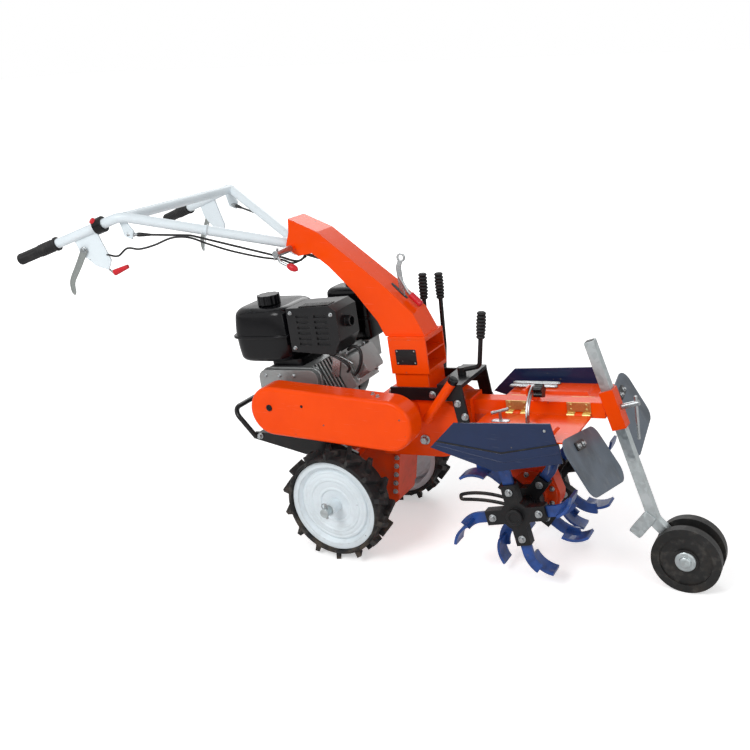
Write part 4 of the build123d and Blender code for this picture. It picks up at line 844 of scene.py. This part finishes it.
BORE_TILT, FLANGE_TOP = 24, 195.2
STARTER_AXIS, STARTER_RING, STARTER_FACE = (-148, 258), 90, 150
bore, bore_side = tilted(BORE_TILT)
heads = []
for y in (-48, 48):
    for lift in (-39, 39):
        at = body(-148, -15 + y, 258) + MM * (FLANGE_TOP * bore + lift * bore_side)
        heads.append(bolt(at, bore, 7, washer=False))
for angle in circle(3) + 0.5:
    x, z = on_ring(STARTER_AXIS, STARTER_RING, angle)
    heads.append(bolt(body(x, STARTER_FACE, z), ACROSS, 8))
piece("engine_bolts", heads, bright_zinc, "chassis")

# %% Bolts of the rotor's holders
ROWS = ((70, 52), (150, 10))  # distance from the middle, first angle
HOLDER_HALF, BOLT_RING, SHAFT_HALF = 13, 62, 172
heads = []
for distance, phase in ROWS:
    for _, hand in SIDES:
        for angle in np.radians(phase + 90 * np.arange(4)):
            x, z = on_ring(CHAIN_AXIS, BOLT_RING, angle)
            for face in (-1, 1):
                at = body(x, hand * distance + face * HOLDER_HALF, z)
                heads.append(bolt(at, face * ACROSS, 12))
piece("rotor_bolts", heads, bright_zinc, "rotor")
mouth = [(0, 20.6), (2.5, 20.6), (3, 20), (3, 13.5), (0.6, 13)]
ends = [
    turned(body(CHAIN_AXIS[0], hand * SHAFT_HALF, CHAIN_AXIS[1]), hand * ACROSS, mouth, 40)
    for _, hand in SIDES
]
piece("rotor_shaft_mouths", ends, black_iron, "rotor")

# %% [markdown]
# ## Hood fittings
#
# Each flap has a clamp plate with two bolts, each cover a T-screw, and the far cover slotted
# strips, bars bent into loops. Each side shield steps outwards along a bent seam, with a black bar
# in the step as painted shadow of the seam's gap, and a pressed ridge below it.

# %% Flap plates, T-screws and strips
FLAP_OUTER_TOP, FLAP_OUTER_LOW = (660, 268, 236), (730, 268, 104)
FLAP_INNER_TOP = (672, 54, 196)
FLAP_HALF, PLATE_THICK = 2, 3
WING_TOP, STAY_X, STAY_Y = 210, {-1: 450, 1: 480}, 88
STUD, BAR_HALF = 26, 22
STRIP_POWER = 40 / 7
SEAM_X, SEAM_Z, RIDGE_Z = (326, 495, 640), (198, 176, 206), (190, 155, 185)
SHIELD_FACE, STEP_FACE = 210.2, 213.2


def t_screw(x, y, z, lean):
    """A short stud with a cross bar: two bars whose paths meet at the stud's head."""
    head = body(x, y, z + STUD)
    stud = swoop([body(x, y, z), head], 8)
    arm = MM * BAR_HALF * heading(math.cos(lean), math.sin(lean), 0.12)
    bar = swoop([head - arm, head + arm], 8)
    swell = 3.6 + 0.9 * np.linspace(-1, 1, 8) ** 2
    return [tube(stud, 4, ALONG), tube(bar, swell, UP)]


def slotted_strip(x, y, z, length, width):
    """A flat strip with a slot: a bar along a soft square, stretched to length and width."""
    along, across = soft_square(circle(48), STRIP_POWER)
    path = body(x + length / 2 * along, y + width / 2 * across, z)
    return tube(path, 3.4, UP, 10, loop=True)


def crease_line(hand, heights, lift, face, radius):
    """A bead along a bent line on a shield: x and z run straight between the rows of a table."""
    x = np.linspace(SEAM_X[0] + 2, SEAM_X[-1] - 2, 60)
    z = np.interp(x, SEAM_X, heights) + lift
    return tube(body(x, hand * face, z), radius, ACROSS, 10)


for name, hand in SIDES:
    # A black bar along the seam: painted shadow of the gap in the step, not a part of its own.
    bead = crease_line(hand, SEAM_Z, 1.4, SHIELD_FACE + 0.6, 1.9)
    piece(f"{name}_shield_seam_shadow", [bead], grip_rubber, f"{name}_cover")
    ridge = crease_line(hand, RIDGE_Z, 0, STEP_FACE - 0.6, 1.6)
    piece(f"{name}_shield_ridge", [ridge], navy, f"{name}_cover")
    outer = sided(FLAP_OUTER_TOP, hand)
    inward = sided(FLAP_INNER_TOP, hand) - outer
    down = sided(FLAP_OUTER_LOW, hand) - outer
    normal = unit(np.cross(inward, down))
    normal = normal * np.sign(normal[0])
    right = unit(inward) if np.dot(np.cross(inward, -down), normal) > 0 else -unit(inward)
    middle = outer + 0.40 * inward + 0.19 * down + MM * FLAP_HALF * normal
    upward = np.cross(normal, right)
    plate = slab(middle, right, upward, 52, 22, PLATE_THICK)
    piece(f"{name}_flap_plate", [plate], black_coat, f"{name}_cover")
    heads = [
        bolt(middle + MM * (PLATE_THICK * normal + step * right), normal, 8)
        for step in (-14, 14)
    ]
    heads.append(dome(body(608, hand * SHIELD_FACE, 238), hand * ACROSS, 3.6, 2))
    stay = (STAY_X[hand], hand * STAY_Y, WING_TOP)
    heads += t_screw(*stay, 0.5)
    heads.append(slab(body(*stay), ALONG, ACROSS, 46, 18, 2))
    if hand > 0:
        heads += [slotted_strip(452, y, WING_TOP + 9.4, 128, 9) for y in (150, 176)]
    piece(f"{name}_cover_fittings", heads, bright_zinc, f"{name}_cover")

# %% [markdown]
# Welds join the arm to its column and the column's post to its flange. A weld bead is a bar along
# the joint whose radius ripples, one ripple for each puddle of metal.


# %% Weld beads
def weld(middle, half_along, half_across, radius):
    """A bead along a soft square, stretched to half lengths, with a sine on its radius."""
    angle = circle(240)
    x, y = soft_square(angle, 14)
    path = body(middle[0] + half_along * x, middle[1] + half_across * y, middle[2])
    ripple = radius * (1 + 0.16 * np.sin(30 * angle))
    return tube(path, ripple, UP, 10, loop=True)


piece("arm_weld", [weld((188, 0, 416.8), 57.5, 40.4, 2.2)], orange, "steering_arm")
piece("post_weld", [weld((196, 0, 267), 48.4, 48.4, 2.4)], orange, "chassis")

# %% [markdown]
# ## Blow-moulded tank and air cleaner
#
# A blow-moulded tank has no straight edge: its corners are full, its flanks swell, and its top is
# crowned. Each level is one stretched soft square, so the tank is a stack of outlines whose lengths
# follow the height. The air cleaner is made in the same way, with a groove for its seal.


# %% Tank and air cleaner
def moulding(middle, levels, power, sides=96):
    """A stack of soft rectangles: rows of (height, length, width) in mm round a middle (x, y)."""
    height, length, width = (column[:, None] for column in np.asarray(levels, float).T)
    x, y = soft_square(circle(sides), power)
    return skin(body(middle[0] + length / 2 * x, middle[1] + width / 2 * y, height))


def rounded(low, high, size_low, size_high, foot, crown, swell=0, count=28):
    """Levels from low to high: lengths and widths run between two sizes, swell in the middle, and
    are drawn in along a quarter circle of radius foot at the bottom and crown at the top."""
    share = 0.5 - 0.5 * np.cos(np.linspace(0, np.pi, count))
    height = low + (high - low) * share
    bottom = np.clip((low + foot - height) / max(foot, 1e-6), 0, 1)
    upper = np.clip((height - high + crown) / max(crown, 1e-6), 0, 1)
    inset = foot * (1 - np.sqrt(1 - bottom**2)) + crown * (1 - np.sqrt(1 - upper**2))
    grow = swell * np.sin(np.pi * share)
    sizes = [a + (b - a) * share + grow - 2 * inset for a, b in zip(size_low, size_high)]
    return np.stack([height, *sizes], -1)


TANK_MIDDLE, TANK_BASE, TANK_SEAM, SEAM_HIGH, TANK_TOP = (-230, -9), 356, 426, 8, 510
TANK_SIZE = (204, 202)
lower_tank = rounded(TANK_BASE, TANK_SEAM, (178, 176), (190, 188), 16, 0, swell=2)
seam = rounded(TANK_SEAM, TANK_SEAM + SEAM_HIGH, TANK_SIZE, TANK_SIZE, 2, 2, count=9)
upper_tank = rounded(TANK_SEAM + SEAM_HIGH, TANK_TOP - 3, (191, 189), (174, 172), 0, 20, swell=3)
crown = [(TANK_TOP - 1.4, 100, 98), (TANK_TOP - 0.4, 62, 60)]
tank = moulding(TANK_MIDDLE, np.vstack([lower_tank, seam, upper_tank, crown]), 4.6)
stand_levels = rounded(338.2, 358, (102, 121), (102, 121), 0, 0, count=4)
stand = moulding((-176, -9), stand_levels, 9)
piece("tank_moulding", [tank, stand], black_plastic, "chassis", ["fuel_tank"], 28)

CLEANER, CLEANER_LOW, CLEANER_HIGH, CLEANER_SIZE = (-36, 104), 378, 524, (140, 104)
SEAL_AT = 438
below = rounded(CLEANER_LOW, SEAL_AT - 3, CLEANER_SIZE, (136, 100), 6, 2)
groove = [(SEAL_AT - 2, 131, 95), (SEAL_AT + 2, 131, 95)]
above = rounded(SEAL_AT + 3, CLEANER_HIGH - 1, (137, 101), (131, 95), 2, 16)
lid = [(CLEANER_HIGH - 0.4, 80, 60)]
cleaner = moulding(CLEANER, np.vstack([below, groove, above, lid]), 5)


def lobes(distance, angle):
    """Six lobes round a knob, as a factor on its radius."""
    return 0.92 + 0.08 * np.cos(6 * angle) + 0 * distance


knob_rows = [(-2, 19), (9, 20), (12.5, 18), (14, 13)]
wing_knob = turned(body(*CLEANER, CLEANER_HIGH), UP, knob_rows, 48, lobes)
piece("cleaner_moulding", [cleaner, wing_knob], black_plastic, "chassis", ["air_cleaner"], 28)

# %% [markdown]
# The crankcase is a plain box in the solids. A cast one is split by a flange, has a bolted cover
# and ribs at its end, an oil filler and a drain plug.

# %% Crankcase
CASE_MIDDLE, CASE_HALF, CASE_END, FLANGE_Y = (-154, 244), (95.4, 94.4), -248.6, -84
x, z = soft_square(circle(160), 9)
flange = body(CASE_MIDDLE[0] + CASE_HALF[0] * x, FLANGE_Y, CASE_MIDDLE[1] + CASE_HALF[1] * z)
case_skins = [tube(flange, 4, ACROSS, 10, loop=True, wide=0.6)]
case_skins.append(slab(body(CASE_END, -5, 222), -ACROSS, UP, 132, 96, 4, power=8))
for y in np.linspace(-68, 82, 6):
    case_skins.append(slab(body(CASE_END, y, 295), -ACROSS, UP, 5, 38, 4))
piece("crankcase_castings", case_skins, aluminium, "chassis")
heads = [bolt(body(CASE_END, -60, 164), -ALONG, 11)]
for y in (-59, 49):
    heads += [bolt(body(CASE_END - 4, y, z), -ALONG, 7) for z in (186, 222, 258)]
heads += [bolt(body(x, -105, 322), -ACROSS, 7) for x in (-226, -180, -134)]
piece("crankcase_bolts", heads, bright_zinc, "chassis")
filler_rows = [(-6, 13), (10, 13), (10.5, 16), (20, 16), (23, 13)]
filler = turned(body(CASE_END, 78, 186), heading(-0.9, 0, 0.43), filler_rows, 48, lobes)
piece("oil_filler", [filler], black_plastic, "chassis")

# %% [markdown]
# ## Smaller fittings on the frame
#
# Next come the pieces that break up plain faces: a blank plate with rivets on the column, a plug in
# the belt cover, caps on strut and mast, and the slotted arc beside the chain case.

# %% Column plate and arm
PLATE_AT, PLATE_SIZE = (191, -54, 362), (60, 42)
column_plate = slab(body(*PLATE_AT), ALONG, UP, *PLATE_SIZE, 1, power=16, edge=0.3)
piece("column_plate", [column_plate], black_coat, "steering_arm")
rivets = [
    dome(body(PLATE_AT[0] + dx, PLATE_AT[1] - 1, PLATE_AT[2] + dz), -ACROSS, 2.2, 1.6)
    for dx in (-25, 25)
    for dz in (-16, 16)
]
pivot_nut = bolt(body(-112, 40, 662), ACROSS, 20)
pin_at, pin_run = body(-112, -121, 662), heading(0.45, 0, 0.89)
cross_pin = tube(swoop([pin_at - 0.018 * pin_run, pin_at + 0.018 * pin_run], 6), 3, ACROSS)
piece("arm_fasteners", rivets + [pivot_nut, cross_pin], bright_zinc, "steering_arm")

# %% Caps, cover screws and arc
STRUT_FOOT, STRUT_HEAD, STRUT_Y = (246, 205), (338, 316), -96.2
cap_rows = [(-8, 12.4), (-7, 13.2), (3, 13.2), (5, 11.5), (5.5, 8)]
cap_at = body(STRUT_HEAD[0], STRUT_Y, STRUT_HEAD[1])
strut_cap = turned(cap_at, upright(STRUT_FOOT, STRUT_HEAD), cap_rows, 36)
plug_rows = [(0, 9), (1.6, 9), (2.2, 8), (2.2, 5), (0.6, 4.4)]
cover_plug = turned(body(-152, -212, 269), -ACROSS, plug_rows, 36)
cover_screw = dome(body(-49, -212, 276), -ACROSS, 4, 2)
COVER_ENDS, COVER_RADIUS = ((-148, 258), (195, 229)), 67.5
cover_up = np.cross(upright(*COVER_ENDS), ACROSS)
heads = []
for share, y in ((0.84, -172), (0.90, -184)):
    x, z = between(*COVER_ENDS, share)
    heads.append(bolt(body(x, y, z) + MM * COVER_RADIUS * cover_up, cover_up, 7))
piece("cover_top_screws", heads, bright_zinc, "chassis")
piece("chassis_caps", [strut_cap, cover_plug, cover_screw], black_plastic, "chassis")

ARC_LEFT, ARC_RIGHT, ARC_Y, ARC_RISE, ARC_HALF = (285, -34), (446, -44), -32, 42, 10
angle = circle(72)
share = 0.5 - 0.5 * np.cos(angle)
arc_x, arc_z = (low + (high - low) * share for low, high in zip(ARC_LEFT, ARC_RIGHT))
arc_z = arc_z + ARC_RISE * share * (1 - share) + ARC_HALF * soft_square(angle, STRIP_POWER)[1]
depth_arc = tube(body(arc_x, ARC_Y, arc_z), 3.6, ACROSS, 12, loop=True, wide=1.4)
piece("depth_arc", [depth_arc], black_coat, "chassis")
MAST_BEND, MAST_TOP = (790, -69), (666, 391)
mast_top = body(MAST_TOP[0], 0, MAST_TOP[1])
mast_side = np.cross(upright(MAST_BEND, MAST_TOP), ACROSS)
mouth_plug = slab(mast_top, ACROSS, mast_side, 20, 20, 1.2, power=12, edge=0.4)
piece("mast_plug", [mouth_plug], black_plastic, "tail_strut")

# %% [markdown]
# The engine gets its breather hose and plug lead, a bracket with the governor's spring and rod,
# ribs on the muffler guard, and the cord handle of its starter; the arm gets a black plate as
# painted shade of its lock's slot.

# %% Hoses, spring and ribs
HOSES = (  # radius, controls
    (4.6, ((24, -62, 384), (74, -66, 420), (78, -70, 350), (40, -74, 318))),
    (3.6, ((26, -84, 330), (60, -96, 352), (10, -98, 372), (-20, -92, 384))),
)
hoses = [tube(swoop([body(*at) for at in path], 48), radius, ACROSS) for radius, path in HOSES]
piece("engine_hoses", hoses, cable_sheath, "chassis")
bracket_right, bracket_top = heading(0.97, 0, -0.24), heading(0.24, 0, 0.97)
bracket = slab(body(-8, -77.2, 352), bracket_right, bracket_top, 24, 78, 3)
piece("engine_bracket", [bracket], bright_zinc, "chassis")
COIL_RADIUS, COIL_TURN = 3.4, 62
coil = np.linspace(0, 1, 200)
coil_x = -6 + 34 * coil + COIL_RADIUS * np.cos(COIL_TURN * coil)
coil_y = -84 + COIL_RADIUS * np.sin(COIL_TURN * coil)
spring = tube(body(coil_x, coil_y, 376 - 30 * coil), 0.8, UP, 6)
rod = tube(swoop([body(-18, -84, 388), body(0, -86, 380), body(46, -82, 352)], 24), 1.6, UP, 10)
piece("governor_spring", [spring, rod], bright_zinc, "chassis")
MUFFLER_TOP = ((-124, 510), (10, 516))
guard_ribs = []
for share in np.linspace(0.30, 0.96, 13):
    x, z = between(*MUFFLER_TOP, share)
    guard_ribs.append(slab(body(x, -82, z - 0.4), ALONG, ACROSS, 3.6, 38, 3, power=9))
piece("muffler_guard_ribs", guard_ribs, black_plastic, "chassis")

# %% Lock slot's painted shade and cord handle
SLOPE_UP = (-0.6975, 0, 0.7166)
slot_at, slot_up = body(168.9, 0, 526.5), heading(*SLOPE_UP)
# A thin black plate on the arm's slope: painted shade of the lock's slot, which is not cut.
lock_slot_shade = slab(slot_at, ACROSS, slot_up, 13, 58, 0.7, power=4, edge=0.2)
piece("lock_slot_shade", [lock_slot_shade], black_iron, "steering_arm")
cord_run = unit(heading(0.5, 0, 0.86))
cord_at = body(-86, 128, 352)
share = np.linspace(-1, 1, 27)
handle_rows = np.c_[26 * share, 6 + 1.6 * np.cos(np.pi * share) - 2 * share**8]
handle = turned(cord_at, heading(0.86, 0, -0.5), handle_rows, 24)
throat = turned(cord_at - 0.030 * cord_run, cord_run, [(0, 9), (12, 8), (22, 5), (26, 3.4)], 24)
piece("starter_handle", [handle, throat], black_plastic, "chassis")

# %% [markdown]
# ## Controls on the handlebar
#
# `at_tube` measures places in the upright plane along a hand tube: `s` from the bend towards the
# grip, `d` up and `o` to the left. The cables leave the handlebar and enter the arm, which pitch
# against each other; the run between them is drawn at rest and baked in place. The throttle's
# thinner cable is drawn in that piece from end to end.

# %% Levers and cables
PIVOT_AT, LEVER_FACE = (141, -43), 9.2
CABLE_START, CABLE_NEXT = (-484, 227.8, 754), (-350, 158, 731)
CABLE_END, CABLE_INSIDE = (-142, 49, 638), (-82, 32.8, 641)
CABLE_DIP = ((-120, 40, 626), (-98, 32.8, 614))
THROTTLE_START = (86, -78, 0)
THROTTLE_RUN = (
    (-522, -259, 704), (-490, -253, 722), (-460, -240, 716), (-424, -222, 721),
    (-378, -200, 734), (-338, -178, 728), (-300, -151, 703), (-250, -125, 677),
    (-186, -90, 650), (-142, -61, 635), (-116, -44, 621), (-84, -25, 634),
)
LEVER_PATH = ((140, -42), (191, -87), (191, -87), (224, -108), (224, -108), (230, -146))
LEVER_OUT = 5.7
THROTTLE_STEM, THROTTLE_OUT = ((124, -80), (94, -130)), 5.2


def at_tube(hand, s, d, o):
    """A place by a hand tube: bend + s along + d up + o across, in mm."""
    run = hand_run(hand)
    left, above = beside(run)
    return sided(HAND_BEND, hand) + MM * (s * run + d * above + o * left), run, above, left


zinc_bits, boots = [], []
barrel = [(-16, 3.4), (-15.5, 4.6), (-4, 4.6), (-4, 6.4), (4, 6.4), (4, 4.8), (12, 4.8)]
boot = [(0, 5.6), (6, 6), (20, 4.8), (34, 3.4)]
share = np.linspace(0, 1, 48)
tip = np.maximum((share - 0.9) / 0.1, 0)
thick = (3.6 - 0.9 * share) * np.sqrt(np.clip(1.02 - tip**2, 0, 1))
for name, hand in SIDES:
    route = swoop([at_tube(hand, s, d, hand * LEVER_OUT)[0] for s, d in LEVER_PATH], 48)
    pivot, run, above, left = at_tube(hand, *PIVOT_AT, hand * LEVER_FACE)
    blades = [tube(route, thick, left, 20, wide=2.9)]
    if hand < 0:
        stem = [at_tube(hand, s, d, THROTTLE_OUT)[0] for s, d in THROTTLE_STEM]
        blades.append(tube(swoop(stem, 12), 3, left))
    piece(f"{name}_lever_blade", blades, lever_alloy, "handlebar_frame", [f"{name}_lever"])
    zinc_bits.append(bolt(pivot, hand * left, 11))
    begin = sided(CABLE_START, hand)
    lead = unit(sided(CABLE_NEXT, hand) - begin)
    zinc_bits.append(turned(begin, lead, barrel, 24))
    boots.append(turned(begin + 0.012 * lead, lead, boot, 24))
    leave, enter = sided(CABLE_END, hand), sided(CABLE_INSIDE, hand)
    dip = [sided(spot, hand) for spot in CABLE_DIP]
    cables = [tube(swoop([leave, *dip, enter], 32), 3.2, ACROSS)]
    if hand < 0:
        throttle = [at_tube(hand, *THROTTLE_START)[0], *(body(*spot) for spot in THROTTLE_RUN)]
        cables.append(tube(strand(throttle, 160), 2.8, ACROSS))
    crossing = ("handlebar_frame", "steering_arm", tuple(leave), tuple(enter))
    piece(f"{name}_cable_crossing", cables, cable_sheath, crossing)
piece("control_bolts", zinc_bits, bright_zinc, "handlebar_frame")
piece("cable_boots", boots, cable_sheath, "handlebar_frame")

# %% Switch button and cable tie
SWITCH_AT, SWITCH_RADIUS = 68, 22
centre, run, above, left = at_tube(-1, SWITCH_AT, 0, 0)
facing = unit(0.75 * above - 0.55 * left + 0.35 * run)
button_at = centre + MM * (SWITCH_RADIUS - 3) * facing
button = turned(button_at, facing, [(0, 9), (6, 9), (8.5, 8), (10, 5)], 32)
piece("switch_button", [button], red_plastic, "handlebar_frame")

TUBE_FOOT, TIE_SHARE, TIE_RADIUS = (-118, -4, 662), 0.52, 15.2
TAIL_STEPS = ((0, -15), (-4, -30), (0, -58))
tube_foot, tube_end = body(*TUBE_FOOT), sided(HAND_BEND, -1)
tie_at = between(tube_foot, tube_end, TIE_SHARE)
tube_run = unit(tube_end - tube_foot)
tie_side, tie_up = beside(tube_run)
x, z = on_ring((0, 0), TIE_RADIUS, circle(40))
strap = tie_at + MM * (x[:, None] * tie_side + z[:, None] * tie_up)
tail = swoop([tie_at + MM * (x * tie_side + z * tie_up) for x, z in TAIL_STEPS], 16)
tie = [tube(strap, 1.5, tube_run, 8, loop=True), tube(tail, np.linspace(1.6, 0.9, 16), tube_run, 8)]
piece("cable_tie", tie, white_coat, "handlebar_frame")

# %% [markdown]
# ## Wheels
#
# Last, the running gear: a cross pin with its pull ring through each axle stub, pressed beads round
# the dished rims, hub caps on the tail wheels and the scraper plate behind them.

# %% Axle pins, rim beads, hub caps and scraper
AXLE_PIN_Y = 249.5
RIM_BEADS = ((92, 204.9), (72, 208), (46, 204.8))  # radius, distance from the middle
for name, hand in SIDES:
    pin = swoop([body(0, hand * AXLE_PIN_Y, -19), body(0, hand * AXLE_PIN_Y, 22)], 6)
    x, z = on_ring((0, 16), 9, circle(28))
    ring = body(x, hand * (AXLE_PIN_Y + 4), z)
    parts = [tube(pin, 3.4, ALONG), tube(ring, 1.3, ACROSS, 8, loop=True)]
    piece(f"{name}_axle_pin", parts, bright_zinc, f"{name}_wheel")
    beads = []
    for radius, out in RIM_BEADS:
        x, z = on_ring((0, 0), radius, circle(96))
        beads.append(tube(body(x, hand * out, z), 3, ACROSS, 12, loop=True, wide=1.7))
    piece(f"{name}_rim_beads", beads, white_coat, f"{name}_wheel")

TAIL = np.array(JOINTS["tail_spin"]["pos_m"], float)
hub = [(0.4, 25), (3, 25), (4.5, 23), (4.5, 15), (9, 14), (11, 11), (11.5, 6)]
caps = [turned(TAIL + MM * hand * 42 * ACROSS, hand * ACROSS, hub, 40) for _, hand in SIDES]
piece("tail_hub_caps", caps, galvanised, "tail_strut")
SCRAPER_AT, SCRAPER_TILT = (762, -12.6, -78), 51
scraper = slab(body(*SCRAPER_AT), *tilted(SCRAPER_TILT), 72, 34, 3, power=9)
piece("scraper_plate", [scraper], galvanised, "tail_strut")
